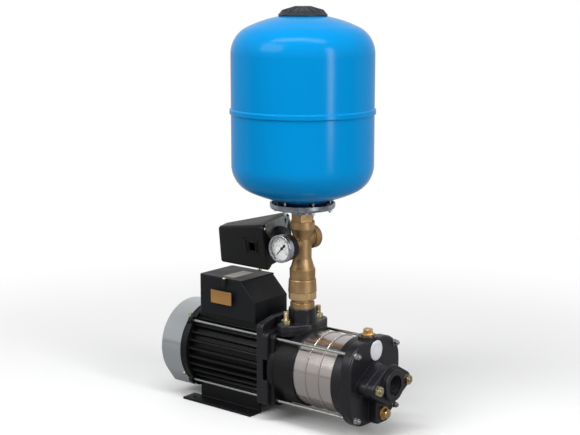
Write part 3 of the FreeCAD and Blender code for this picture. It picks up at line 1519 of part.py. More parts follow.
def tank_upper_shell():
    """Deep drawn upper half with the rolled seam bead and the hole for the air valve."""
    outer = head_solid(1, tank_straight_high, tank_seam, 0.0)
    inner = head_solid(1, tank_straight_high, tank_seam, tank_wall)
    shell = outer.cut(inner)
    half = seam_width / 2.0
    bead = turned_z([(tank_radius - tank_wall, tank_seam), (tank_radius + seam_bead, tank_seam),
                     (tank_radius + seam_bead, tank_seam + half, 1.8),
                     (tank_radius - tank_wall, tank_seam + half + 3.0)])
    hole = rod_z(dome_height(0) - 20, dome_height(0) + 5, valve_stem_radius + press_gap)
    return on_stack(without(joined([shell, bead]), [hole]))


def tank_lower_shell():
    """Lower half with its half of the bead and the neck ring for the bladder's lip."""
    outer = head_solid(-1, tank_straight_low, tank_seam, 0.0)
    inner = head_solid(-1, tank_straight_low, tank_seam, tank_wall)
    shell = outer.cut(inner)
    half = seam_width / 2.0
    bead = turned_z([(tank_radius - tank_wall, tank_seam), (tank_radius + seam_bead, tank_seam),
                     (tank_radius + seam_bead, tank_seam - half, 1.8),
                     (tank_radius - tank_wall, tank_seam - half - 3.0)])
    low = lip_seat + lip_thickness
    neck = rod_z(low, floor_height(tank_neck_radius) + tank_wall / 2.0, tank_neck_radius)
    hole = rod_z(low - 5, tank_straight_low, tank_neck_radius - 7.0)
    return on_stack(without(joined([shell, bead, neck]), [hole]))


def counter_flange():
    """Zinc plated counter flange: a dished plate open towards the tank, with a threaded hub."""
    hub_low = tee_top + tank_nipple_hex_height + press_gap
    inner = pan_radius - pan_sheet
    profile = [(stack_thread_radius, hub_low), (pan_hub, hub_low), (pan_hub, pan_base),
               (pan_radius, pan_base, pan_bend), (pan_radius, pan_rim), (inner, pan_rim),
               (inner, lip_seat, pan_bend - pan_sheet), (stack_thread_radius, lip_seat)]
    plate = turned_z(profile)
    cuts = [rod_z(pan_base - 1, lip_seat + 1, tank_bolt_radius + press_gap, x, y)
            for x, y in tank_bolt_places()]
    return on_stack(without(plate, cuts))


def tank_bolt_places():
    places = []
    for index in range(tank_bolt_count):
        angle = 2.0 * math.pi * (index + 0.5) / tank_bolt_count
        places.append((tank_bolt_circle * math.cos(angle), tank_bolt_circle * math.sin(angle)))
    return places


def tank_bolts():
    """Six studs on the tank's underside with a nut above and below the counter flange."""
    high = floor_height(tank_bolt_circle - tank_bolt_radius) - press_gap
    low = pan_base - 1.6 * tank_nut_height
    nut = hex_piece(tank_bolt_hex, tank_nut_height, tank_bolt_radius + press_gap)
    pieces = []
    for x, y in tank_bolt_places():
        pieces.append(on_stack(rod_z(low, high, tank_bolt_radius, x, y)))
        pieces.append(on_stack(moved(nut, x, y, pan_base - tank_nut_height)))
        pieces.append(on_stack(moved(nut, x, y, lip_seat)))
    return Part.makeCompound(pieces)


def bladder():
    """Rubber bladder that hangs from its lip in the neck and holds the water."""
    lip_top = lip_seat + lip_thickness
    neck = tank_neck_radius - 8.0
    wall = bladder_wall
    bottom = floor_height(0) + bladder_floor_gap
    top = tank_straight_high - bladder_shoulder
    side = bladder_radius - wall
    low = bottom + bladder_foot - 5.0
    lip = tank_neck_radius - 1.0
    outer = turned_z([(0, lip_seat), (lip, lip_seat), (lip, lip_top), (neck, lip_top), (neck, bottom),
                      (bladder_radius, low, bladder_foot), (bladder_radius, top, bladder_shoulder), (0, top)])
    inner = turned_z([(0, lip_seat - 1), (neck - wall, lip_seat - 1), (neck - wall, bottom + wall),
                      (side, low + wall, bladder_foot - wall), (side, top - wall, bladder_shoulder - wall),
                      (0, top - wall)])
    return on_stack(outer.cut(inner))


def air_valve():
    """Charging valve in the tank's top, with its nut outside and washer inside."""
    top = dome_height(0)
    inside = top - tank_wall
    cap_room = dome_height(cap_radius) + cap_height - cap_wall
    stem_top = cap_room - 1.0
    profile = [(0, inside - 3.0), (9.0, inside - 3.0), (9.0, inside - 0.3), (valve_stem_radius, inside - 0.3),
               (valve_stem_radius, top + 0.2), (8.0, top + 0.2), (8.0, top + 4.0),
               (valve_stem_radius, top + 4.0),
               (valve_stem_radius, stem_top), (0, stem_top)]
    return on_stack(turned_z(profile))


def top_cover():
    """Ribbed plastic cap over the air valve, which lifts off."""
    rim = dome_height(cap_radius - cap_wall) + free_gap
    top = rim + cap_height - free_gap
    wall = cap_wall
    outer = [(cap_radius, rim), (cap_radius, rim + 2.5), (cap_radius - 9.0, rim + 10.0), (13.0, top),
             (0, top)]
    inner = [(cap_radius - wall, rim), (cap_radius - wall, rim + 1.0),
             (cap_radius - 9.0 - wall, rim + 10.0 - wall),
             (13.0 - wall / 2.0, top - wall), (0, top - wall)]
    shell = turned_z(outer + inner[::-1])
    rib = outline([(14.0, top - 1.0), (14.0, top + 0.4), (cap_radius - 8.0, rim + 11.2),
                   (cap_radius - 1.5, rim + 4.0),
                   (cap_radius - 1.5, rim + 1.5), (cap_radius - 10.0, rim + 9.0)], plane_xz)
    rib = moved(rib.extrude(vec(0, 2.0, 0)), y=-1.0)
    ribs = [turned_by(rib, vec(0, 0, 0), vec(0, 0, 1), 360.0 * i / cap_ribs) for i in range(cap_ribs)]
    return on_stack(joined([shell] + ribs))


makers = {
    "motor_foot": motor_foot,
    "motor_housing": motor_housing,
    "rear_end_shield": rear_end_shield,
    "fan_cover": fan_cover,
    "cover_screws": cover_screws,
    "cooling_fan": cooling_fan,
    "motor_shaft": motor_shaft,
    "shaft_bearings": shaft_bearings,
    "rotor_core": rotor_core,
    "stator_core": stator_core,
    "stator_winding": stator_winding,
    "motor_through_bolts": motor_through_bolts,
    "terminal_box": terminal_box,
    "terminal_box_lid": terminal_box_lid,
    "capacitor": capacitor,
    "cable_gland": cable_gland,
    "motor_bracket": motor_bracket,
    "discharge_casing": discharge_casing,
    "seal_seat": seal_seat,
    "seal_head": seal_head,
    "flange_gaskets": flange_gaskets,
    "discharge_flange": discharge_flange,
    "suction_flange": suction_flange,
    "flange_studs": flange_studs,
    "flange_nuts": flange_nuts,
    "diffusers": diffusers,
    "impellers": impellers,
    "tie_rods": tie_rods,
    "tie_rod_nuts": tie_rod_nuts,
    "suction_cover": suction_cover,
    "priming_plug": priming_plug,
    "drain_plug": drain_plug,
    "union_nipple": union_nipple,
    "union_nut": union_nut,
    "check_valve_body": check_valve_body,
    "check_valve_poppet": check_valve_poppet,
    "check_valve_spring": check_valve_spring,
    "five_way_tee": five_way_tee,
    "tank_nipple": tank_nipple,
    "gauge_case": gauge_case,
    "gauge_bezel": gauge_bezel,
    "gauge_dial": gauge_dial,
    "gauge_pointer": gauge_pointer,
    "gauge_glass": gauge_glass,
    "switch_inlet": switch_inlet,
    "switch_bracket": switch_bracket,
    "switch_base": switch_base,
    "switch_cover": switch_cover,
    "switch_lever": switch_lever,
    "contact_block": contact_block,
    "tank_upper_shell": tank_upper_shell,
    "tank_lower_shell": tank_lower_shell,
    "counter_flange": counter_flange,
    "tank_bolts": tank_bolts,
    "bladder": bladder,
    "air_valve": air_valve,
    "top_cover": top_cover,
}
for number in range(stage_count):
    makers["stage_sleeve_%d" % (number + 1)] = lambda index=number: stage_sleeve(index)

os.makedirs("parts", exist_ok=True)
for node, maker in makers.items():
    maker().exportStep("parts/%s.step" % node)
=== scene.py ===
"""Looks of the booster pump set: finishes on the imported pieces, and the detail they carry."""
import math
import bmesh
import bpy
from mathutils import Matrix, Vector


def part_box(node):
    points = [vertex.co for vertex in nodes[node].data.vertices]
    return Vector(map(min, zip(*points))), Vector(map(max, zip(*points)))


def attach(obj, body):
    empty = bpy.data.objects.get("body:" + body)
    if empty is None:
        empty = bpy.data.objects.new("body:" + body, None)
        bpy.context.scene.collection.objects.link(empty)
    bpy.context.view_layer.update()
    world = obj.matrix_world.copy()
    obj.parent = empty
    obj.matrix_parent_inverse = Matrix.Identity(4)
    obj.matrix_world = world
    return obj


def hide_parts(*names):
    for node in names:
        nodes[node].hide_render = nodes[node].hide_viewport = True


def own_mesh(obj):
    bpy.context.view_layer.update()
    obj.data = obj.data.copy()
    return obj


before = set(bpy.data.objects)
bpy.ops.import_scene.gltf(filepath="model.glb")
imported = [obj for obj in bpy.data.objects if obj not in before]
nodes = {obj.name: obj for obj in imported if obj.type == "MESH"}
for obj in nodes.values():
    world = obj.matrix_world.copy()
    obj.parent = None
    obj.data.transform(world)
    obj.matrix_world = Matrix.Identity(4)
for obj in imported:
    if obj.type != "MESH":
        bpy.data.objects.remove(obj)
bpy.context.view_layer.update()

# Motor foot.
# A strip of steel sheet bent into two floor flanges, two webs and a bridge, welded to the motor's pad
# and dipped in satin black paint with it. Paint on sheet is smooth, with a faint waviness.


def linear(code):
    """Linear colour of an sRGB hex value such as "1b1c1e"."""
    parts = [int(code[i:i + 2], 16) / 255.0 for i in (0, 2, 4)]
    return tuple(c / 12.92 if c <= 0.04045 else ((c + 0.055) / 1.055) ** 2.4 for c in parts) + (1.0,)


def add(tree, kind, settings=None, **links):
    """New node with its settings, and its input sockets set to a value or joined to another socket."""
    node = tree.nodes.new(kind)
    for name, value in (settings or {}).items():
        setattr(node, name, value)
    for name, value in links.items():
        key = int(name[1:]) if name[0] == "n" and name[1:].isdigit() else name.replace("_", " ")
        if isinstance(value, bpy.types.NodeSocket):
            tree.links.new(value, node.inputs[key])
        else:
            node.inputs[key].default_value = value
    return node


def finish_named(name):
    """New material: its tree, the principled shader at its output, and object coordinates."""
    material = bpy.data.materials.new(name)
    material.use_nodes = True
    tree = material.node_tree
    tree.nodes.clear()
    shader = add(tree, "ShaderNodeBsdfPrincipled")
    add(tree, "ShaderNodeOutputMaterial", Surface=shader.outputs[0])
    place = add(tree, "ShaderNodeTexCoord").outputs["Object"]
    return material, tree, shader, place


def wear_on_edges(tree, place, radius, low, high):
    """Factor that is 1 along outer edges and 0 on flat faces, broken up by noise."""
    edge = add(tree, "ShaderNodeBevel", {"samples": 4}, Radius=radius)
    flat = add(tree, "ShaderNodeNewGeometry")
    turn = add(tree, "ShaderNodeVectorMath", {"operation": "DOT_PRODUCT"}, n0=edge.outputs[0],
               n1=flat.outputs["Normal"])
    breakup = add(tree, "ShaderNodeTexNoise", Vector=place, Scale=60.0, Detail=4.0)
    spread = add(tree, "ShaderNodeMath", {"operation": "MULTIPLY_ADD"}, n0=breakup.outputs[0], n1=0.05,
                 n2=turn.outputs["Value"])
    edges = add(tree, "ShaderNodeMapRange", n0=spread.outputs[0], n1=high, n2=low, n3=0.0, n4=1.0)
    return edges.outputs[0]


def painted(name, colour, roughness, grain_mm, depth_mm, edge_colour, level=0.26):
    """Satin paint: a fine grain, faint cloudiness in its gloss, and soft edges a little paler."""
    material, tree, shader, place = finish_named(name)
    grain = add(tree, "ShaderNodeTexNoise", Vector=place, Scale=1000.0 / grain_mm, Detail=3.0)
    cloud = add(tree, "ShaderNodeTexNoise", Vector=place, Scale=1000.0 / 45.0, Detail=3.0)
    gloss = add(tree, "ShaderNodeMapRange", n0=cloud.outputs[0], n1=0.3, n2=0.7, n3=roughness - 0.05,
                n4=roughness + 0.06)
    edge = wear_on_edges(tree, place, radius=0.0012, low=0.955, high=0.995)
    tint = add(tree, "ShaderNodeMix", {"data_type": "RGBA"}, n0=edge, n6=linear(colour),
               n7=linear(edge_colour))
    soft = add(tree, "ShaderNodeBevel", {"samples": 4}, Radius=0.0014)
    bump = add(tree, "ShaderNodeBump", Height=grain.outputs[0], Distance=depth_mm / 1000.0,
               Strength=0.6, Normal=soft.outputs[0])
    tree.links.new(tint.outputs[2], shader.inputs["Base Color"])
    tree.links.new(gloss.outputs[0], shader.inputs["Roughness"])
    tree.links.new(bump.outputs[0], shader.inputs["Normal"])
    shader.inputs["Specular IOR Level"].default_value = level
    return material


def dress(material, *names):
    """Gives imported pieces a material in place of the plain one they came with."""
    for name in names:
        piece = nodes[name]
        piece.data.materials.clear()
        piece.data.materials.append(material)


satin_black_paint_on_sheet = painted("satin_black_paint_on_sheet", "101113", roughness=0.42,
                                     grain_mm=3.0, depth_mm=0.03, edge_colour="222325")
dress(satin_black_paint_on_sheet, "motor_foot")

# Motor housing and rear end shield.
# Bored body with fins that stand out from it like spokes, and its end ring, cast in light alloy and
# painted satin black all over. The sand grain shows through the paint, and the fins' edges are rounded.

cast_black = painted("satin_black_paint_on_casting", "0d0e10", roughness=0.40, grain_mm=1.6,
                     depth_mm=0.10, edge_colour="242527")
dress(cast_black, "rear_end_shield")

mm = 0.001
shaft_height = 105.0


def begin(operator, **settings):
    """Adds a primitive with nothing else selected, and goes into edit mode with all of it selected."""
    bpy.ops.object.select_all(action="DESELECT")
    operator(**settings)
    bpy.ops.object.mode_set(mode="EDIT")
    return bpy.context.object


def slab(low, high):
    """Box between two corners given in millimetres, left in edit mode."""
    piece = begin(bpy.ops.mesh.primitive_cube_add, size=1.0)
    bpy.ops.transform.resize(value=[(b - a) * mm for a, b in zip(low, high)])
    bpy.ops.transform.translate(value=[(a + b) / 2.0 * mm for a, b in zip(low, high)])
    return piece


def pick(piece, wanted):
    """In edit mode, selects just the faces whose middle and normal pass a test."""
    bpy.ops.mesh.select_mode(type="FACE")
    bpy.ops.mesh.select_all(action="DESELECT")
    shape = bmesh.from_edit_mesh(piece.data)
    for face in shape.faces:
        face.select_set(bool(wanted(face.calc_center_median() / mm, face.normal)))
    bmesh.update_edit_mesh(piece.data)


def eased(piece, width, segments=2):
    """Leaves edit mode and rounds the piece's sharp edges by a width in millimetres."""
    bpy.ops.object.mode_set(mode="OBJECT")
    bevel = piece.modifiers.new("eased_edges", "BEVEL")
    bevel.width = width * mm
    bevel.segments = segments
    bevel.limit_method = "ANGLE"
    bpy.ops.object.modifier_apply(modifier=bevel.name)
    return piece


def copied(piece, place):
    """Copy of a piece with its own mesh, moved by a matrix."""
    other = piece.copy()
    other.data = piece.data.copy()
    other.data.transform(place)
    bpy.context.scene.collection.objects.link(other)
    return other


def joined(pieces):
    """One object of several, the first of them kept."""
    bpy.ops.object.select_all(action="DESELECT")
    for piece in pieces:
        piece.select_set(True)
    bpy.context.view_layer.objects.active = pieces[0]
    bpy.ops.object.join()
    return pieces[0]


def settled(piece, name, material, body, place=None):
    """Puts a finished piece in its place for good, smooths and dresses it, and sets its body."""
    piece.name = name
    piece.data.name = name
    piece.data.transform((place or Matrix()) @ piece.matrix_world)
    piece.matrix_world = Matrix()
    bpy.ops.object.select_all(action="DESELECT")
    piece.select_set(True)
    bpy.context.view_layer.objects.active = piece
    bpy.ops.object.shade_smooth_by_angle(angle=math.radians(32.0))
    piece.data.materials.clear()
    piece.data.materials.append(material)
    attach(piece, body)


def at(x, y, z):
    """Shift by millimetres."""
    return Matrix.Translation(Vector((x, y, z)) * mm)


housing_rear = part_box("motor_housing")[0][0] / mm
housing_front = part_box("motor_housing")[1][0] / mm
housing_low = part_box("motor_housing")[0][2] / mm
along_shaft = Matrix.Rotation(math.radians(90.0), 4, "Y")
core_radius = 67.0
core_wall = 6.0
core = begin(bpy.ops.mesh.primitive_cylinder_add, vertices=144, radius=core_radius * mm,
             depth=(housing_front - housing_rear) * mm)
pick(core, lambda middle, normal: abs(normal.z) > 0.9)
bpy.ops.mesh.inset(thickness=core_wall * mm, use_individual=True)
bpy.ops.mesh.bridge_edge_loops()
bpy.ops.object.mode_set(mode="OBJECT")
core.data.transform(at((housing_rear + housing_front) / 2.0, 0, 0) @ along_shaft)

# One fin, thinner at its edge, then its copies fanned out every 12 degrees on both sides, from beside
# the top pad round to beside the foot pad.
fin_radius = 80.0
fin_foot_radius = 64.0
fin_half_thickness = 2.9
fin_edge_share = 0.66
first_fin_turn = 36.0
fin_turn = 12.0
fin = slab((housing_rear, -fin_half_thickness, fin_foot_radius),
           (housing_front, fin_half_thickness, fin_radius))
pick(fin, lambda middle, normal: normal.z > 0.9)
bpy.ops.transform.resize(value=(1.0, fin_edge_share, 1.0))
eased(fin, 0.9)
fins = []
for step in range(10):
    for side in (-1.0, 1.0):
        turn = math.radians(side * (first_fin_turn + fin_turn * step))
        fins.append(copied(fin, Matrix.Rotation(turn, 4, "X")))
bpy.data.objects.remove(fin)

# The two pads reach down into the body, and are measured from the shaft.
pad_root = 34.0
top_pad_front = 85.0
top_half_width = 44.0
top_rise = 78.0
foot_pad_front = 90.0
foot_half_width = 37.0
top_pad = eased(slab((housing_rear, -top_half_width, pad_root),
                     (top_pad_front, top_half_width, top_rise)), 1.0)
foot_pad = eased(slab((housing_rear, -foot_half_width, housing_low - shaft_height),
                      (foot_pad_front, foot_half_width, -pad_root)), 1.0)
housing = joined([core, top_pad, foot_pad] + fins)
settled(housing, "finned_motor_housing", cast_black, "pump_set", at(0, 0, shaft_height))
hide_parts("motor_housing")

# Fan cover.
# A cap drawn from bright zinc coated sheet, flat below and rounded at the rear, pushed over the end
# shield and held by four screws. The sheet is smooth: soft clouds in its gloss and faint lines round
# it, drawn 1.2 mm apart so that they show.

material, tree, shader, place = finish_named("bright_zinc_coated_sheet")
streak_place = add(tree, "ShaderNodeMapping", Vector=place, Scale=(1000.0 / 1.2, 14.0, 14.0))
streak = add(tree, "ShaderNodeTexNoise", Vector=streak_place.outputs[0], Scale=1.0, Detail=2.0)
cloud = add(tree, "ShaderNodeTexNoise", Vector=place, Scale=1000.0 / 70.0, Detail=3.0)
tint = add(tree, "ShaderNodeMix", {"data_type": "RGBA"}, n0=cloud.outputs[0], n6=linear("c2c8cd"),
           n7=linear("d6dadd"))
rough = add(tree, "ShaderNodeMapRange", n0=cloud.outputs[0], n1=0.3, n2=0.7, n3=0.17, n4=0.25)
bump = add(tree, "ShaderNodeBump", Height=streak.outputs[0], Distance=0.00001, Strength=0.35)
tree.links.new(tint.outputs[2], shader.inputs["Base Color"])
tree.links.new(rough.outputs[0], shader.inputs["Roughness"])
tree.links.new(bump.outputs[0], shader.inputs["Normal"])
shader.inputs["Metallic"].default_value = 1.0
dress(material, "fan_cover")

# Tie rod nuts and tank bolts.
# Nuts on the tie rods, and the studs and nuts of the tank's flange: steel, zinc plated bright. Plating
# is smooth, with a gloss and a tint that wander a little.

# Past this x, in metres, threads run along the shaft. Before it they stand upright.
suction_end = 0.3


def plated(name, first, second, roughness, patch_mm, pitch_mm=0.0):
    """Plated metal whose tint wanders between two colours, with thread grooves where it has a pitch."""
    material, tree, shader, place = finish_named(name)
    patch = add(tree, "ShaderNodeTexNoise", Vector=place, Scale=1000.0 / patch_mm, Detail=3.0)
    spread = add(tree, "ShaderNodeMapRange", n0=patch.outputs[0], n1=0.35, n2=0.65)
    tint = add(tree, "ShaderNodeMix", {"data_type": "RGBA"}, n0=spread.outputs[0], n6=linear(first),
               n7=linear(second))
    rough = add(tree, "ShaderNodeMapRange", n0=patch.outputs[0], n1=0.3, n2=0.7, n3=roughness - 0.05,
                n4=roughness + 0.08)
    soft = add(tree, "ShaderNodeBevel", {"samples": 4}, Radius=0.0006)
    last = soft.outputs[0]
    if pitch_mm:
        parts = add(tree, "ShaderNodeSeparateXYZ", Vector=place)
        level = add(tree, "ShaderNodeMath", {"operation": "GREATER_THAN"}, n0=parts.outputs[0],
                    n1=suction_end)
        run = add(tree, "ShaderNodeMix", n0=level.outputs[0], n2=parts.outputs[2], n3=parts.outputs[0])
        turns = add(tree, "ShaderNodeMath", {"operation": "MULTIPLY"}, n0=run.outputs[0],
                    n1=1000.0 / pitch_mm)
        ridge = add(tree, "ShaderNodeMath", {"operation": "PINGPONG"}, n0=turns.outputs[0], n1=0.5)
        groove = add(tree, "ShaderNodeBump", Height=ridge.outputs[0], Distance=pitch_mm / 1000.0,
                     Strength=0.9, Normal=last)
        last = groove.outputs[0]
    tree.links.new(tint.outputs[2], shader.inputs["Base Color"])
    tree.links.new(rough.outputs[0], shader.inputs["Roughness"])
    tree.links.new(last, shader.inputs["Normal"])
    shader.inputs["Metallic"].default_value = 1.0
    return material


bright_zinc = plated("bright_zinc_plated_steel", "a6a9ab", "c0c2c3", roughness=0.27,
                     patch_mm=6.0)
dress(bright_zinc, "tie_rod_nuts", "tank_bolts")

# Cover screws.
# Steel screws round the fan cover and in the lid's tabs, zinc plated and yellow passivated. The
# passivation wanders between straw and greenish gold.

yellow_zinc = plated("yellow_passivated_zinc", "bcae84", "d8cea6", roughness=0.30, patch_mm=4.0)
dress(yellow_zinc, "cover_screws")

# Cooling fan.
# Moulded nylon fan on the shaft's end, seen through the cover's slots, and the cable gland of the same
# dull dark grey plastic.


def moulded(name, colour, roughness, texture_mm, depth_mm, level=0.28):
    """Moulded plastic with the fine spark texture of its tool and soft edges."""
    material, tree, shader, place = finish_named(name)
    grain = add(tree, "ShaderNodeTexNoise", Vector=place, Scale=1000.0 / texture_mm, Detail=2.0)
    cloud = add(tree, "ShaderNodeTexNoise", Vector=place, Scale=1000.0 / 30.0, Detail=3.0)
    rough = add(tree, "ShaderNodeMapRange", n0=cloud.outputs[0], n1=0.3, n2=0.7, n3=roughness - 0.04,
                n4=roughness + 0.05)
    shade = add(tree, "ShaderNodeMapRange", n0=cloud.outputs[0], n1=0.3, n2=0.7, n3=0.0, n4=1.0)
    darker, paler = [tuple(c * share for c in linear(colour)[:3]) + (1.0,) for share in (0.92, 1.08)]
    tint = add(tree, "ShaderNodeMix", {"data_type": "RGBA"}, n0=shade.outputs[0], n6=darker, n7=paler)
    soft = add(tree, "ShaderNodeBevel", {"samples": 4}, Radius=0.0010)
    bump = add(tree, "ShaderNodeBump", Height=grain.outputs[0], Distance=depth_mm / 1000.0,
               Strength=0.5, Normal=soft.outputs[0])
    tree.links.new(tint.outputs[2], shader.inputs["Base Color"])
    tree.links.new(rough.outputs[0], shader.inputs["Roughness"])
    tree.links.new(bump.outputs[0], shader.inputs["Normal"])
    shader.inputs["Specular IOR Level"].default_value = level
    return material


black_nylon = moulded("black_nylon", "1c1d1f", roughness=0.5, texture_mm=0.8, depth_mm=0.03)
dress(black_nylon, "cooling_fan", "cable_gland")

# Through bolts, shaft, bearings, rotor and stator.
# Bright drawn bolts beside the fins, and a ground steel shaft in two sealed ball bearings with its
# laminated rotor, inside the laminated stator and its varnished copper end turns. Drawing and turning
# leave fine lines, those of the bolts drawn 2 mm apart so that they show. The laminations show as rings
# and the winding as wires.


def turned_metal(name, colour, roughness, line_mm, depth_mm, along=0):
    """Bare metal with fine tool lines round an axis: 0 along X, 1 along Y, 2 along Z."""
    material, tree, shader, place = finish_named(name)
    stretch = [30.0, 30.0, 30.0]
    stretch[along] = 1000.0 / line_mm
    lines_place = add(tree, "ShaderNodeMapping", Vector=place, Scale=stretch)
    lines = add(tree, "ShaderNodeTexNoise", Vector=lines_place.outputs[0], Scale=1.0, Detail=3.0)
    darker = tuple(c * 0.82 for c in linear(colour)[:3]) + (1.0,)
    tint = add(tree, "ShaderNodeMix", {"data_type": "RGBA"}, n0=lines.outputs[0], n6=darker,
               n7=linear(colour))
    rough = add(tree, "ShaderNodeMapRange", n0=lines.outputs[0], n1=0.3, n2=0.7, n3=roughness - 0.05,
                n4=roughness + 0.08)
    bump = add(tree, "ShaderNodeBump", Height=lines.outputs[0], Distance=depth_mm / 1000.0,
               Strength=0.4)
    tree.links.new(tint.outputs[2], shader.inputs["Base Color"])
    tree.links.new(rough.outputs[0], shader.inputs["Roughness"])
    tree.links.new(bump.outputs[0], shader.inputs["Normal"])
    shader.inputs["Metallic"].default_value = 1.0
    return material


bright_drawn_rod = turned_metal("bright_drawn_rod", "bcbdbe", roughness=0.30, line_mm=2.0,
                                depth_mm=0.001)
dress(bright_drawn_rod, "motor_through_bolts")
ground_steel = turned_metal("ground_steel", "b9b9b6", roughness=0.22, line_mm=0.3,
                            depth_mm=0.01)
dress(ground_steel, "motor_shaft", "shaft_bearings")
lamination_steel = turned_metal("lamination_steel", "77777a", roughness=0.45, line_mm=0.7,
                                depth_mm=0.08)
dress(lamination_steel, "rotor_core", "stator_core")
varnished_copper_wire = turned_metal("varnished_copper_wire", "a4502a", roughness=0.30,
                                     line_mm=0.9, depth_mm=0.25)
dress(varnished_copper_wire, "stator_winding")

# Terminal box and its lid.
# Die cast alloy box with a bevelled pump end, screwed to the housing's top pad, and a flat lid held by
# a screw in a tab on each side. Painted satin black: its skin is finer than that of the sand castings,
# with a soft sheen.

box_paint = painted("satin_black_paint_on_die_casting", "18191c", roughness=0.40, grain_mm=1.2,
                    depth_mm=0.03, edge_colour="26272a", level=0.2)
dress(box_paint, "terminal_box", "terminal_box_lid")

# Two blank plates.
# One of gold coloured aluminium riveted to the box's side and a silver one stuck on its lid, both
# stamped from thin sheet with a sunk field. They are brushed along their length, and carry nothing.


def blank_plate(length, height, thickness, border):
    """Thin plate that lies flat about the origin, with a border left standing round a sunk field."""
    piece = slab((-length / 2.0, -height / 2.0, -0.1), (length / 2.0, height / 2.0, thickness))
    pick(piece, lambda middle, normal: normal.z > 0.9)
    bpy.ops.mesh.inset(thickness=border * mm)
    bpy.ops.mesh.inset(thickness=0.3 * mm, depth=-0.2 * mm)
    return eased(piece, 0.12, 1)


def brushed_plate(name, dark, pale, roughness):
    """Coated aluminium sheet brushed along X, its lines drawn 0.6 mm apart so that they show."""
    material, tree, shader, place = finish_named(name)
    lines_place = add(tree, "ShaderNodeMapping", Vector=place, Scale=(20.0, 1000.0 / 0.6, 1000.0 / 0.6))
    lines = add(tree, "ShaderNodeTexNoise", Vector=lines_place.outputs[0], Scale=1.0, Detail=2.0)
    tint = add(tree, "ShaderNodeMix", {"data_type": "RGBA"}, n0=lines.outputs[0], n6=linear(dark),
               n7=linear(pale))
    bump = add(tree, "ShaderNodeBump", Height=lines.outputs[0], Distance=0.00001, Strength=0.5)
    tree.links.new(tint.outputs[2], shader.inputs["Base Color"])
    tree.links.new(bump.outputs[0], shader.inputs["Normal"])
    shader.inputs["Metallic"].default_value = 0.7
    shader.inputs["Roughness"].default_value = roughness
    return material


gold_sheet = brushed_plate("gold_coated_aluminium_sheet", "ac7c46", "c89a5e", roughness=0.42)
silver_sheet = brushed_plate("silver_coated_aluminium_sheet", "9a958e", "b0aaa1",
                             roughness=0.42)
box_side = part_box("terminal_box")[0][1] / mm
lid_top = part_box("terminal_box_lid")[1][2] / mm
side_middle = (4.0, 223.7)
facing_near = Matrix.Rotation(math.radians(90.0), 4, "X")
side_place = at(side_middle[0], box_side, side_middle[1]) @ facing_near
gold_plate = blank_plate(length=54.0, height=26.2, thickness=0.5, border=1.6)
settled(gold_plate, "blank_gold_plate", gold_sheet, "pump_set", side_place)
lid_plate = blank_plate(length=28.0, height=60.0, thickness=0.4, border=1.2)
settled(lid_plate, "blank_lid_plate", silver_sheet, "pump_set", at(6.0, -7.0, lid_top))

# Four rivets with low round heads, one in each corner of the gold plate.
rivet_radius = 1.5
rivet_seat = 0.45
rivet_along = 24.6
rivet_up = 10.7
rivet = begin(bpy.ops.mesh.primitive_uv_sphere_add, segments=24, ring_count=12,
              radius=rivet_radius * mm)
bpy.ops.mesh.bisect(plane_co=(0, 0, 0), plane_no=(0, 0, 1), use_fill=True, clear_inner=True)
bpy.ops.mesh.select_all(action="SELECT")
bpy.ops.transform.resize(value=(1.0, 1.0, 0.55))
bpy.ops.object.mode_set(mode="OBJECT")
rivets = [copied(rivet, side_place @ at(x, y, rivet_seat))
          for x in (-rivet_along, rivet_along) for y in (-rivet_up, rivet_up)]
bpy.data.objects.remove(rivet)
settled(joined(rivets), "plate_rivets", gold_sheet, "pump_set")

# Capacitor.
# White plastic can with two spade tabs, loose on the box's floor. Smooth and slightly glossy.

white_plastic_can = moulded("white_plastic_can", "d0d0cb", roughness=0.4, texture_mm=1.0,
                            depth_mm=0.02)
dress(white_plastic_can, "capacitor")

# Motor bracket, discharge casing, suction cover and port flanges.
# Sand cast pieces of the pump end, black coated. A coarser cast grain than the motor's, dull between
# the soft highlights on their rounded edges. The discharge casing has a copy of the coat that is darker
# and smoother.

pump_black = painted("black_coat_on_sand_casting", "1a1a1f", roughness=0.31, grain_mm=2.2,
                     depth_mm=0.14, edge_colour="393a41", level=0.38)
dress(pump_black, "motor_bracket", "suction_cover", "discharge_flange", "suction_flange")
casing_black = painted("darker_black_coat_on_casting", "101013", roughness=0.30, grain_mm=3.0,
                       depth_mm=0.06, edge_colour="2a2b2e", level=0.3)
dress(casing_black, "discharge_casing")

# Pipe threads in the two ports.
# Ridges cut inside the suction flange and the side outlet, 11 to the inch, with the metal of the port.
# Each is a triangle wound round the port's axis.


def wound(radius, height, pitch, turns, corners=3):
    """Bar wound round the Z axis from z = 0, its section a triangle that points inwards, or rounder."""
    piece = begin(bpy.ops.mesh.primitive_circle_add, vertices=corners, radius=height * mm,
                  fill_type="NGON")
    bpy.ops.transform.rotate(value=math.radians(90.0), orient_axis="X", center_override=(0, 0, 0))
    bpy.ops.transform.rotate(value=math.radians(90.0), orient_axis="Y", center_override=(0, 0, 0))
    bpy.ops.transform.translate(value=(radius * mm, 0, 0))
    bpy.ops.mesh.delete(type="ONLY_FACE")
    bpy.ops.object.mode_set(mode="OBJECT")
    wind = piece.modifiers.new("winding", "SCREW")
    wind.axis = "Z"
    wind.steps = 64
    wind.render_steps = 64
    wind.screw_offset = pitch * mm
    wind.iterations = turns
    wind.use_merge_vertices = True
    bpy.ops.object.modifier_apply(modifier=wind.name)
    bpy.ops.object.mode_set(mode="EDIT")
    bpy.ops.mesh.select_all(action="SELECT")
    bpy.ops.mesh.fill_holes(sides=0)
    bpy.ops.mesh.normals_make_consistent(inside=False)
    bpy.ops.object.mode_set(mode="OBJECT")
    return piece


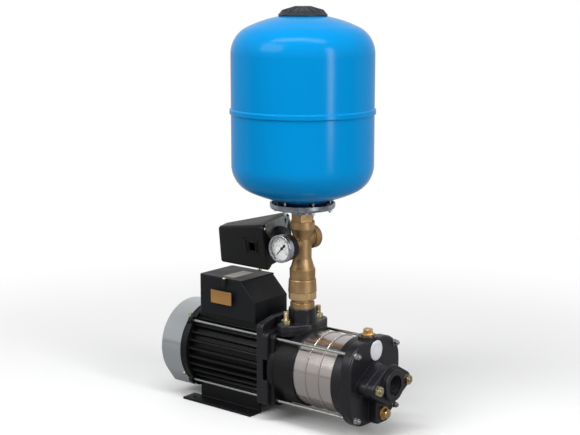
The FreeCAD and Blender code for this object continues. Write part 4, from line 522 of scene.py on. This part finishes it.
port_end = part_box("suction_flange")[1][0] / mm
pipe_pitch = 2.309
ridge_height = 1.0
suction_thread = 19.0
ridge = wound(radius=19.6, height=ridge_height, pitch=pipe_pitch, turns=7)
settled(ridge, "suction_port_thread", pump_black, "pump_set",
        at(port_end - suction_thread, 0, shaft_height) @ along_shaft)

# White oval on the suction cover.
# A badge of white plastic with a clear domed face, stuck on over the port. Its gloss is higher than
# that of the moulded pieces, and it carries nothing.

white_badge = moulded("white_plastic_badge", "d9dae0", roughness=0.25, texture_mm=2.0,
                      depth_mm=0.01, level=0.5)
cover_face = 336.5
badge_middle = (1.5, 164.0)
badge_radius = 18.6
badge_depth = 3.2
badge = begin(bpy.ops.mesh.primitive_cylinder_add, vertices=96, radius=badge_radius * mm,
              depth=badge_depth * mm)
bpy.ops.transform.resize(value=(1.04, 0.98, 1.0))
pick(badge, lambda middle, normal: normal.z > 0.9)
for width, rise in ((0.5, 0.3), (1.5, 0.3), (4.0, 0.3)):
    bpy.ops.mesh.inset(thickness=width * mm, depth=rise * mm)
bpy.ops.object.mode_set(mode="OBJECT")
settled(badge, "blank_oval_badge", white_badge, "pump_set",
        at(cover_face, badge_middle[0], badge_middle[1]) @ along_shaft)

# Shaft seal and gaskets.
# Ceramic seat pressed in the casing's wall, carbon ring in its rubber bellows on the shaft, and rubber
# gaskets under the port flanges. All the rubber is dull black, the tank's bladder too.

ground_ceramic = moulded("ground_ceramic", "d8d2c4", roughness=0.25, texture_mm=0.6,
                         depth_mm=0.01)
dress(ground_ceramic, "seal_seat")
black_rubber = moulded("black_rubber", "101011", roughness=0.6, texture_mm=1.0, depth_mm=0.05)
dress(black_rubber, "seal_head", "flange_gaskets", "bladder")

# Studs and nuts of the port flanges.
# Rolled thread studs with forged hexagon nuts, zinc plated and yellow passivated. The studs stand
# upright on the discharge, and lie along the shaft at the suction end, past x = 0.3 m.

yellow_zinc_thread = plated("yellow_zinc_thread", "ad9876", "c8b392", roughness=0.34,
                            patch_mm=4.0, pitch_mm=1.5)
dress(yellow_zinc_thread, "flange_studs")
dress(yellow_zinc, "flange_nuts")

# Stage sleeves and tie rods.
# Sleeves rolled from stainless sheet with a bead at each joint, brushed round, clamped between the
# casings by four bright rods. The brushing draws the light out along the shaft. Its lines are 0.5 mm
# apart, coarser than real ones, so that they show.

material, tree, shader, place = finish_named("brushed_stainless")
lines_place = add(tree, "ShaderNodeMapping", Vector=place, Scale=(1000.0 / 0.5, 10.0, 10.0))
lines = add(tree, "ShaderNodeTexNoise", Vector=lines_place.outputs[0], Scale=1.0, Detail=3.0)
cloud = add(tree, "ShaderNodeTexNoise", Vector=place, Scale=1000.0 / 50.0, Detail=2.0)
tint = add(tree, "ShaderNodeMix", {"data_type": "RGBA"}, n0=lines.outputs[0], n6=linear("c2bab7"),
           n7=linear("dcd5d1"))
rough = add(tree, "ShaderNodeMapRange", n0=cloud.outputs[0], n1=0.3, n2=0.7, n3=0.17, n4=0.24)
bump = add(tree, "ShaderNodeBump", Height=lines.outputs[0], Distance=0.00002, Strength=0.6)
tree.links.new(tint.outputs[2], shader.inputs["Base Color"])
tree.links.new(rough.outputs[0], shader.inputs["Roughness"])
tree.links.new(bump.outputs[0], shader.inputs["Normal"])
shader.inputs["Metallic"].default_value = 1.0
dress(material, "stage_sleeve_1", "stage_sleeve_2", "stage_sleeve_3")
drawn_stainless_rod = turned_metal("drawn_stainless_rod", "c4c2be", roughness=0.24, line_mm=0.5,
                                   depth_mm=0.01)
dress(drawn_stainless_rod, "tie_rods")

# Impellers and diffusers.
# Glass filled plastic wheels and guide plates inside the sleeves, in natural colour.

glass_filled_plastic = moulded("glass_filled_plastic", "b5ae9c", roughness=0.5, texture_mm=1.2,
                               depth_mm=0.04)
dress(glass_filled_plastic, "impellers", "diffusers")

# Priming plug and drain plug.
# Turned brass plugs with a flange and a hexagon head, one on top of the suction cover and one low on
# its face. Handling has dulled them in small brown blotches. The tank's air valve is turned alike.


def brass(name, dark, pale, roughness, grain_mm, depth_mm, blotch_mm):
    """Brass with the grain of its making and brown blotches where it has dulled."""
    material, tree, shader, place = finish_named(name)
    blotch = add(tree, "ShaderNodeTexNoise", Vector=place, Scale=1000.0 / blotch_mm, Detail=5.0,
                 Roughness=0.6)
    spread = add(tree, "ShaderNodeMapRange", n0=blotch.outputs[0], n1=0.35, n2=0.65)
    grain = add(tree, "ShaderNodeTexNoise", Vector=place, Scale=1000.0 / grain_mm, Detail=3.0)
    tint = add(tree, "ShaderNodeMix", {"data_type": "RGBA"}, n0=spread.outputs[0], n6=linear(dark),
               n7=linear(pale))
    rough = add(tree, "ShaderNodeMapRange", n0=blotch.outputs[0], n1=0.3, n2=0.7, n3=roughness + 0.06,
                n4=roughness - 0.06)
    soft = add(tree, "ShaderNodeBevel", {"samples": 4}, Radius=0.0010)
    bump = add(tree, "ShaderNodeBump", Height=grain.outputs[0], Distance=depth_mm / 1000.0,
               Strength=0.6, Normal=soft.outputs[0])
    tree.links.new(tint.outputs[2], shader.inputs["Base Color"])
    tree.links.new(rough.outputs[0], shader.inputs["Roughness"])
    tree.links.new(bump.outputs[0], shader.inputs["Normal"])
    shader.inputs["Metallic"].default_value = 1.0
    return material


turned_brass = brass("turned_brass", "b8925f", "dcbb84", roughness=0.34, grain_mm=0.8,
                     depth_mm=0.02, blotch_mm=8.0)
dress(turned_brass, "priming_plug", "drain_plug", "air_valve")

# Brass stack on the discharge.
# Union nipple and octagonal nut, check valve body, five way manifold and the nipple under the tank:
# sand cast brass, blasted to a dull tan skin. The nut and the valve's poppet are machined brighter.

cast_brass = brass("blasted_cast_brass", "9d805b", "bb9b72", roughness=0.48, grain_mm=1.4,
                   depth_mm=0.10, blotch_mm=25.0)
dress(cast_brass, "check_valve_body", "five_way_tee", "tank_nipple", "union_nipple")
bright_brass = brass("machined_brass_nut", "cfab7e", "e3c294", roughness=0.38, grain_mm=1.0,
                     depth_mm=0.04, blotch_mm=12.0)
dress(bright_brass, "union_nut", "check_valve_poppet")
outlet_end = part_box("five_way_tee")[1][1] / mm
stack_x = 163.0
outlet_height = 354.0
along_outlet = Matrix.Rotation(math.radians(-90.0), 4, "X")
outlet_thread = 15.5
ridge = wound(radius=15.2, height=ridge_height, pitch=pipe_pitch, turns=6)
settled(ridge, "outlet_port_thread", cast_brass, "pump_set",
        at(stack_x, outlet_end - outlet_thread, outlet_height) @ along_outlet)

# Check valve spring.
# Five turns of stainless wire over the poppet, which lifts 8 mm. It stands for the imported spring.

spring_low, spring_high = [corner[2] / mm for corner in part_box("check_valve_spring")]
wire = 0.9
spring_turns = 5
spring_radius = 7.0
spring_pitch = (spring_high - spring_low - 2.0 * wire) / spring_turns
spring_wire = turned_metal("stainless_spring_wire", "b8b8b6", roughness=0.25, line_mm=0.4,
                           depth_mm=0.01, along=2)
spring = wound(spring_radius, wire, spring_pitch, spring_turns, corners=16)
settled(spring, "shortening_spring", spring_wire, "pump_set", at(stack_x, 0, spring_low + wire))
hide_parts("check_valve_spring")
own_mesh(spring)

# Pressure gauge.
# Black enamelled case, bezel rolled from bright steel, a flat pane, a white plate and a black pointer
# that rests at zero, lower left.

black_enamel_on_pressed_steel = painted("black_enamel_on_pressed_steel", "131317",
                                        roughness=0.34, grain_mm=2.5, depth_mm=0.02,
                                        edge_colour="242528", level=0.2)
dress(black_enamel_on_pressed_steel, "gauge_case")
bright_pressed_steel = plated("bright_pressed_steel", "a8aab1", "c0c2c9", roughness=0.28,
                              patch_mm=8.0)
dress(bright_pressed_steel, "gauge_bezel")
white_enamel_plate = moulded("white_enamel_plate", "eeedec", roughness=0.45, texture_mm=0.8,
                             depth_mm=0.01)
dress(white_enamel_plate, "gauge_dial")
black_enamel = moulded("black_enamel", "0c0c0d", roughness=0.35, texture_mm=0.6, depth_mm=0.01)
dress(black_enamel, "gauge_pointer")

# The scale is printed: red marks and numbers from 0 to 10 over three quarters of a turn, and a finer
# black scale inside them. Each mark stands 0.05 mm off the plate.
gauge_height = 344.0
dial_face = -60.8
gauge_place = at(stack_x, dial_face, gauge_height) @ facing_near
scale_start = 225.0
scale_sweep = 270.0
red_ink = moulded("red_printing_ink", "b8455a", roughness=0.5, texture_mm=0.8, depth_mm=0.005)
black_ink = moulded("black_printing_ink", "1a1a1d", roughness=0.5, texture_mm=0.8,
                    depth_mm=0.005)


def marks(count, inner, outer, width, skipped=0):
    """Marks spread evenly over the scale, each a thin slab that points to the dial's middle."""
    mark = eased(slab((-width / 2.0, inner, -0.1), (width / 2.0, outer, 0.05)), 0.02, 1)
    turns = [-math.radians(scale_start + scale_sweep * step / count)
             for step in range(count + 1) if not skipped or step % skipped]
    copies = [copied(mark, Matrix.Rotation(turn, 4, "Z")) for turn in turns]
    bpy.data.objects.remove(mark)
    return copies


def numbers(values, top, radius, size):
    """Numbers set upright round the scale, turned into meshes."""
    copies = []
    for value in values:
        bpy.ops.object.select_all(action="DESELECT")
        turn = math.radians(scale_start + scale_sweep * value / top)
        middle = (radius * math.sin(turn) * mm, radius * math.cos(turn) * mm, 0.0)
        bpy.ops.object.text_add(location=middle)
        text = bpy.context.object
        text.data.body = str(value)
        text.data.size = size * mm
        text.data.extrude = 0.05 * mm
        text.data.align_x = "CENTER"
        text.data.align_y = "CENTER"
        bpy.ops.object.convert(target="MESH")
        text = bpy.context.object
        text.data.transform(text.matrix_world)
        text.matrix_world = Matrix()
        copies.append(text)
    return copies


scale_radius = 21.4
fine_scale_radius = 10.6
red = (marks(10, inner=17.4, outer=scale_radius, width=0.9)
       + marks(50, inner=19.4, outer=scale_radius, width=0.36, skipped=5)
       + numbers(range(0, 11, 2), top=10, radius=14.3, size=5.0))
settled(joined(red), "gauge_scale", red_ink, "pump_set", gauge_place)
black = (marks(28, inner=9.4, outer=fine_scale_radius, width=0.3)
         + numbers((0, 40, 80, 120), top=140, radius=7.4, size=2.3))
settled(joined(black), "inner_gauge_scale", black_ink, "pump_set", gauge_place)

# The pointer's tail is a round weight, and a cap covers the spindle's end.
pointer_turn = Matrix.Rotation(-math.radians(scale_start), 4, "Z")
tail = 6.6
pointer_rise = 0.9
cap_rise = 1.9
weight = begin(bpy.ops.mesh.primitive_cylinder_add, vertices=48, radius=2.5 * mm, depth=0.5 * mm)
bpy.ops.transform.resize(value=(1.0, 1.45, 1.0))
bpy.ops.transform.translate(value=(0, -tail * mm, pointer_rise * mm))
eased(weight, 0.12, 1)
spindle_cap = begin(bpy.ops.mesh.primitive_cylinder_add, vertices=48, radius=2.9 * mm, depth=0.9 * mm)
pick(spindle_cap, lambda middle, normal: normal.z > 0.9)
bpy.ops.mesh.inset(thickness=0.8 * mm, depth=0.3 * mm)
bpy.ops.mesh.select_all(action="SELECT")
bpy.ops.transform.translate(value=(0, 0, cap_rise * mm))
eased(spindle_cap, 0.12, 1)
settled(joined([weight, spindle_cap]), "pointer_weight", black_enamel, "needle",
        gauge_place @ pointer_turn)

# The pane is clear glass with a film of dust that only softens its gloss. Its IOR is kept low, so that
# what it mirrors doesn't hide the scale.
material, tree, shader, place = finish_named("window_glass")
dust = add(tree, "ShaderNodeTexNoise", Vector=place, Scale=1000.0 / 5.0, Detail=3.0)
rough = add(tree, "ShaderNodeMapRange", n0=dust.outputs[0], n1=0.3, n2=0.8, n3=0.0, n4=0.05)
tree.links.new(rough.outputs[0], shader.inputs["Roughness"])
shader.inputs["Base Color"].default_value = linear("fbfdfd")
shader.inputs["Transmission Weight"].default_value = 1.0
shader.inputs["IOR"].default_value = 1.2
dress(material, "gauge_glass")

# Pressure switch.
# Black diaphragm housing on the manifold's port, a zinc plated bracket plate, and a moulded base and
# cover in black plastic. The contact carrier and the steel lever are inside.

dark_enamel_on_steel = painted("dark_enamel_on_steel", "15171c", roughness=0.34, grain_mm=2.5,
                               depth_mm=0.03, edge_colour="2a2c31")
dress(dark_enamel_on_steel, "switch_inlet")
dull_zinc_plated_sheet = plated("dull_zinc_plated_sheet", "8a9194", "a2a9ab", roughness=0.36,
                                patch_mm=12.0)
dress(dull_zinc_plated_sheet, "switch_bracket")
black_switch = moulded("black_switch_moulding", "0e0f11", roughness=0.36, texture_mm=1.5,
                       depth_mm=0.04)
dress(black_switch, "switch_base", "contact_block")
bent_spring_steel = turned_metal("bent_spring_steel", "a8a8a6", roughness=0.3, line_mm=0.4,
                                 depth_mm=0.01, along=2)
dress(bent_spring_steel, "switch_lever")

# Cover of the switch.
# Moulded shell, 2.2 mm thick, open to the base, with one straight and one sloping side and the cable's
# opening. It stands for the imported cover, whose sloping side is broken through near the crown.

switch_place = at(0, 0, 340.0) @ Matrix.Rotation(math.radians(10.0), 4, "X")
cover_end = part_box("switch_cover")[1][0] / mm
cover_length = 108.0
cover_wall = 2.2
cover_rounding = 6.0
cover_side = -43.0
half_height = 46.0
cover_crown = cover_end - cover_length
crown_width = 24.0
crown_lean = 5.0
crown_low = -45.0
crown_high = 31.0
slopes = (
    ((cover_crown, cover_side + crown_width, 0.0), (2.0 * cover_side + crown_width, cover_length, 0.0)),
    ((cover_crown + crown_lean, 0.0, crown_high),
     (crown_high - half_height, 0.0, cover_length - crown_lean)),
    ((cover_crown, 0.0, crown_low), (-half_height - crown_low, 0.0, -cover_length)),
    ((cover_crown, 0.0, crown_low), (crown_low - crown_high, 0.0, crown_lean)),
)
shell = slab((cover_crown, cover_side, -half_height), (cover_end, -cover_side, half_height))
for point, outwards in slopes:
    bpy.ops.mesh.select_all(action="SELECT")
    bpy.ops.mesh.bisect(plane_co=[c * mm for c in point], plane_no=Vector(outwards).normalized(),
                        use_fill=True, clear_outer=True)
pick(shell, lambda middle, normal: normal.x > 0.9)
bpy.ops.mesh.delete(type="ONLY_FACE")
bpy.ops.mesh.select_all(action="SELECT")
bpy.ops.mesh.bevel(offset=cover_rounding * mm, segments=6, affect="EDGES")

# The near side is cut along the opening's four edges, and the piece between them taken out.
inlet_rear = cover_end - 24.0
inlet_front = cover_end - 10.0
inlet_half = 8.0
inlet_edges = (
    ((inlet_rear, cover_side, 0.0), (1, 0, 0)),
    ((inlet_front, cover_side, 0.0), (1, 0, 0)),
    ((cover_end, cover_side, -inlet_half), (0, 0, 1)),
    ((cover_end, cover_side, inlet_half), (0, 0, 1)),
)
for point, across in inlet_edges:
    pick(shell, lambda middle, normal: normal.y < -0.99 and abs(middle.y - cover_side) < 0.1)
    bpy.ops.mesh.bisect(plane_co=[c * mm for c in point], plane_no=across)
pick(shell, lambda middle, normal: normal.y < -0.99 and abs(middle.z) < inlet_half
     and inlet_rear < middle.x < inlet_front)
bpy.ops.mesh.delete(type="ONLY_FACE")
bpy.ops.object.mode_set(mode="OBJECT")
wall = shell.modifiers.new("wall", "SOLIDIFY")
wall.thickness = cover_wall * mm
wall.offset = -1.0
bpy.ops.object.modifier_apply(modifier=wall.name)
settled(shell, "closed_switch_cover", black_switch, "pump_set", switch_place)
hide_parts("switch_cover")

# Raised frame round the switch's cable inlet, moulded with the cover.
# Three bars stand on the cover's near side, the rear one broader, with ribs beside the opening.

bar_corners = (
    ((-37.0, 13.0), (-1.2, 16.0)),
    ((-37.0, -16.0), (-1.2, -13.0)),
    ((-37.0, -16.0), (-31.5, 16.0)),
    ((-28.0, -11.0), (-26.5, 11.0)),
    ((-8.0, -11.0), (-6.5, 11.0)),
    ((-4.5, -11.0), (-3.0, 11.0)),
)
bar_rise = 1.3
bar_root = 0.5
bars = []
for low, high in bar_corners:
    bar = slab((cover_end + low[0], cover_side - bar_rise, low[1]),
               (cover_end + high[0], cover_side + bar_root, high[1]))
    bars.append(eased(bar, 0.5))
settled(joined(bars), "inlet_frame", black_switch, "pump_set", switch_place)

# Screws of the switch's plate.
# Two small bright screws that hold the plate to the base, their raised heads with a round recess.

head_radius = 3.4
head_height = 2.2
head_seat = 0.7
head_side = 35.0
head_up = 37.5
head = begin(bpy.ops.mesh.primitive_cylinder_add, vertices=48, radius=head_radius * mm,
             depth=head_height * mm)
pick(head, lambda middle, normal: normal.z > 0.9)
bpy.ops.mesh.inset(thickness=1.3 * mm, depth=0.5 * mm)
bpy.ops.mesh.inset(thickness=1.1 * mm)
bpy.ops.mesh.inset(thickness=0.1 * mm, depth=-1.0 * mm)
eased(head, 0.3)
base_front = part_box("switch_base")[1][0] / mm
heads = [copied(head, switch_place @ at(base_front + head_seat, y, head_up) @ along_shaft)
         for y in (-head_side, head_side)]
bpy.data.objects.remove(head)
settled(joined(heads), "switch_plate_screws", bright_zinc, "pump_set")

# Diaphragm tank.
# Two deep drawn steel shells welded at the seam bead and powder coated in glossy blue, inside and out
# of one colour. The coat has a faint orange peel and shows the studio's lamps as soft bright bands.

material, tree, shader, place = finish_named("glossy_blue_powder_coat")
peel = add(tree, "ShaderNodeTexNoise", Vector=place, Scale=1000.0 / 4.0, Detail=2.0)
cloud = add(tree, "ShaderNodeTexNoise", Vector=place, Scale=1000.0 / 120.0, Detail=2.0)
tint = add(tree, "ShaderNodeMix", {"data_type": "RGBA"}, n0=cloud.outputs[0], n6=linear("0085c7"),
           n7=linear("008bcf"))
bump = add(tree, "ShaderNodeBump", Height=peel.outputs[0], Distance=0.00003, Strength=0.3)
tree.links.new(tint.outputs[2], shader.inputs["Base Color"])
tree.links.new(bump.outputs[0], shader.inputs["Normal"])
shader.inputs["Roughness"].default_value = 0.17
shader.inputs["Specular IOR Level"].default_value = 0.10
dress(material, "tank_upper_shell", "tank_lower_shell")

# Painted shade round the tank's neck.
# A thin sheet of dark navy round the lower shell's neck, above the counter flange: painted shade, the
# tank's blue darkened where it falls into shadow under the tank.

neck_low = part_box("tank_lower_shell")[0][2] / mm
neck_radius = 46.5
neck_height = 10.0
neck_wall = 0.4
neck_rise = 5.2
neck = begin(bpy.ops.mesh.primitive_cylinder_add, vertices=128, radius=neck_radius * mm,
             depth=neck_height * mm, end_fill_type="NOTHING")
bpy.ops.object.mode_set(mode="OBJECT")
wall = neck.modifiers.new("wall", "SOLIDIFY")
wall.thickness = neck_wall * mm
bpy.ops.object.modifier_apply(modifier=wall.name)
# Dark navy that stands for the shade under the tank, painted on a thin band round its neck.
painted_shade_navy = painted("dark_blue_painted_shade", "071a3e", roughness=0.3, grain_mm=3.0, depth_mm=0.02,
               edge_colour="0f2f60", level=0.25)
settled(neck, "neck_shade_band", painted_shade_navy, "pump_set", at(stack_x, 0, neck_low + neck_rise))

# Counter flange.
# Dished steel plate with a threaded hub, zinc plated, drawn up to the tank's neck by the studs' nuts.

zinc_plated_pressing = plated("zinc_plated_pressing", "8b929b", "a8aeb6", roughness=0.27,
                              patch_mm=14.0)
dress(zinc_plated_pressing, "counter_flange")

# Top cap.
# Ribbed cap of moulded plastic pushed over the air valve.

dark_grey_plastic = moulded("dark_grey_plastic", "252b33", roughness=0.42, texture_mm=1.2,
                            depth_mm=0.04)
dress(dark_grey_plastic, "top_cover")

# Floor, light and camera.
# A pale studio floor that runs out into white, one wide lamp over the camera's left, a tall strip on
# its right and a soft one above.

# Sizes and places are in metres here. The floor lies a hair under the foot, so that the two share no
# plane.
floor_radius = 30.0
floor_level = -0.0006
bpy.ops.object.select_all(action="DESELECT")
bpy.ops.mesh.primitive_circle_add(vertices=96, radius=floor_radius, fill_type="NGON",
                                  location=(0.1, 0.0, floor_level))
floor = bpy.context.object
floor.name = "studio_floor"
material, tree, shader, place = finish_named("matt_white_backdrop")
ray = add(tree, "ShaderNodeLightPath")
pale = add(tree, "ShaderNodeMix", {"data_type": "RGBA"}, n0=ray.outputs["Is Camera Ray"],
           n6=linear("9a9a9a"), n7=linear("f4f4f4"))
tree.links.new(pale.outputs[2], shader.inputs["Base Color"])
shader.inputs["Roughness"].default_value = 0.9
shader.inputs["Specular IOR Level"].default_value = 0.0
from_middle = add(tree, "ShaderNodeVectorMath", {"operation": "LENGTH"}, n0=place)
away = add(tree, "ShaderNodeMapRange", {"interpolation_type": "SMOOTHSTEP"},
           n0=from_middle.outputs["Value"], n1=0.35, n2=1.5)
white = add(tree, "ShaderNodeEmission", Color=(1.0, 1.0, 1.0, 1.0), Strength=1.0)
towards_backdrop = (-0.63, 0.777, 0.0)
depth = add(tree, "ShaderNodeVectorMath", {"operation": "DOT_PRODUCT"}, n0=place, n1=towards_backdrop)
behind = add(tree, "ShaderNodeMapRange", {"interpolation_type": "SMOOTHSTEP"},
             n0=depth.outputs["Value"], n1=-0.6, n2=0.9, n3=0.0, n4=0.5)
mirrored = add(tree, "ShaderNodeMath", {"operation": "MULTIPLY"}, n0=ray.outputs["Is Glossy Ray"],
               n1=behind.outputs[0])
seen = add(tree, "ShaderNodeMath", {"operation": "MAXIMUM"}, n0=ray.outputs["Is Camera Ray"],
           n1=ray.outputs["Is Transmission Ray"])
seen = add(tree, "ShaderNodeMath", {"operation": "MAXIMUM"}, n0=seen.outputs[0], n1=mirrored.outputs[0])
share = add(tree, "ShaderNodeMath", {"operation": "MULTIPLY"}, n0=seen.outputs[0], n1=away.outputs[0])
mixed = add(tree, "ShaderNodeMixShader", n0=share.outputs[0], n1=shader.outputs[0], n2=white.outputs[0])
output = [n for n in tree.nodes if n.type == "OUTPUT_MATERIAL"][0]
tree.links.new(mixed.outputs[0], output.inputs["Surface"])
floor.data.materials.append(material)

world = bpy.data.worlds.new("studio")
bpy.context.scene.world = world
world.use_nodes = True
tree = world.node_tree
tree.nodes.clear()
# The backdrop behind the set is white. What lies in front of it and overhead is a darker room, which
# shows only in what the set mirrors.
heading = add(tree, "ShaderNodeTexCoord").outputs["Generated"]
backdrop = add(tree, "ShaderNodeVectorMath", {"operation": "DOT_PRODUCT"}, n0=heading,
               n1=towards_backdrop)
behind = add(tree, "ShaderNodeMapRange", {"interpolation_type": "SMOOTHSTEP"},
             n0=backdrop.outputs["Value"], n1=0.0, n2=0.9, n3=0.56, n4=0.72)
parts = add(tree, "ShaderNodeSeparateXYZ", Vector=heading)
ceiling = add(tree, "ShaderNodeMapRange", {"interpolation_type": "SMOOTHSTEP"}, n0=parts.outputs[2],
              n1=0.35, n2=0.8, n3=1.0, n4=0.9)
room = add(tree, "ShaderNodeMath", {"operation": "MULTIPLY"}, n0=behind.outputs[0],
           n1=ceiling.outputs[0])
ray = add(tree, "ShaderNodeLightPath")
mirrored = add(tree, "ShaderNodeMath", {"operation": "MULTIPLY"}, n0=ray.outputs["Is Glossy Ray"],
               n1=room.outputs[0])
seen = add(tree, "ShaderNodeMath", {"operation": "MAXIMUM"}, n0=ray.outputs["Is Camera Ray"],
           n1=ray.outputs["Is Transmission Ray"])
either = add(tree, "ShaderNodeMath", {"operation": "MAXIMUM"}, n0=seen.outputs[0],
             n1=mirrored.outputs[0])
lighting = add(tree, "ShaderNodeMath", {"operation": "MAXIMUM"}, n0=seen.outputs[0],
               n1=ray.outputs["Is Glossy Ray"])
fill = add(tree, "ShaderNodeMapRange", n0=lighting.outputs[0], n3=0.42, n4=0.0)
strength = add(tree, "ShaderNodeMath", {"operation": "ADD"}, n0=fill.outputs[0], n1=either.outputs[0])
sky = add(tree, "ShaderNodeBackground", Color=(1.0, 1.0, 1.0, 1.0), Strength=strength.outputs[0])
add(tree, "ShaderNodeOutputWorld", Surface=sky.outputs[0])


def lamp(name, size, height, power, place, target):
    """Rectangular soft lamp that faces a point."""
    data = bpy.data.lights.new(name, "AREA")
    data.shape = "RECTANGLE"
    data.size = size
    data.size_y = height
    data.energy = power
    piece = bpy.data.objects.new(name, data)
    bpy.context.scene.collection.objects.link(piece)
    piece.location = place
    piece.rotation_euler = (Vector(target) - Vector(place)).to_track_quat("-Z", "Y").to_euler()


lamp("wide_lamp", 1.6, 1.2, 32.0, (-0.4, -2.2, 1.9), (0.1, 0.0, 0.4))
lamp("strip_lamp", 0.35, 1.5, 21.0, (2.2, -0.3, 1.0), (0.15, 0.0, 0.45))
lamp("top_lamp", 2.4, 0.45, 30.0, (0.55, -0.75, 2.4), (0.1, 0.0, 0.3))

# The lens is given by its focal length in pixels of the 580 pixel wide frame.
sensor_width = 36.0
focal_pixels = 1275.62
lens = bpy.data.cameras.new("camera")
lens.sensor_width = sensor_width
lens.lens = sensor_width * focal_pixels / 580.0
lens.clip_end = 100.0
camera = bpy.data.objects.new("camera", lens)
bpy.context.scene.collection.objects.link(camera)
camera.location = (1.6520, -1.87213, 0.83311)
camera.rotation_euler = (math.radians(90.0 - 10.39), 0.0, math.radians(39.07))
bpy.context.scene.camera = camera
bpy.context.scene.view_settings.view_transform = "Standard"
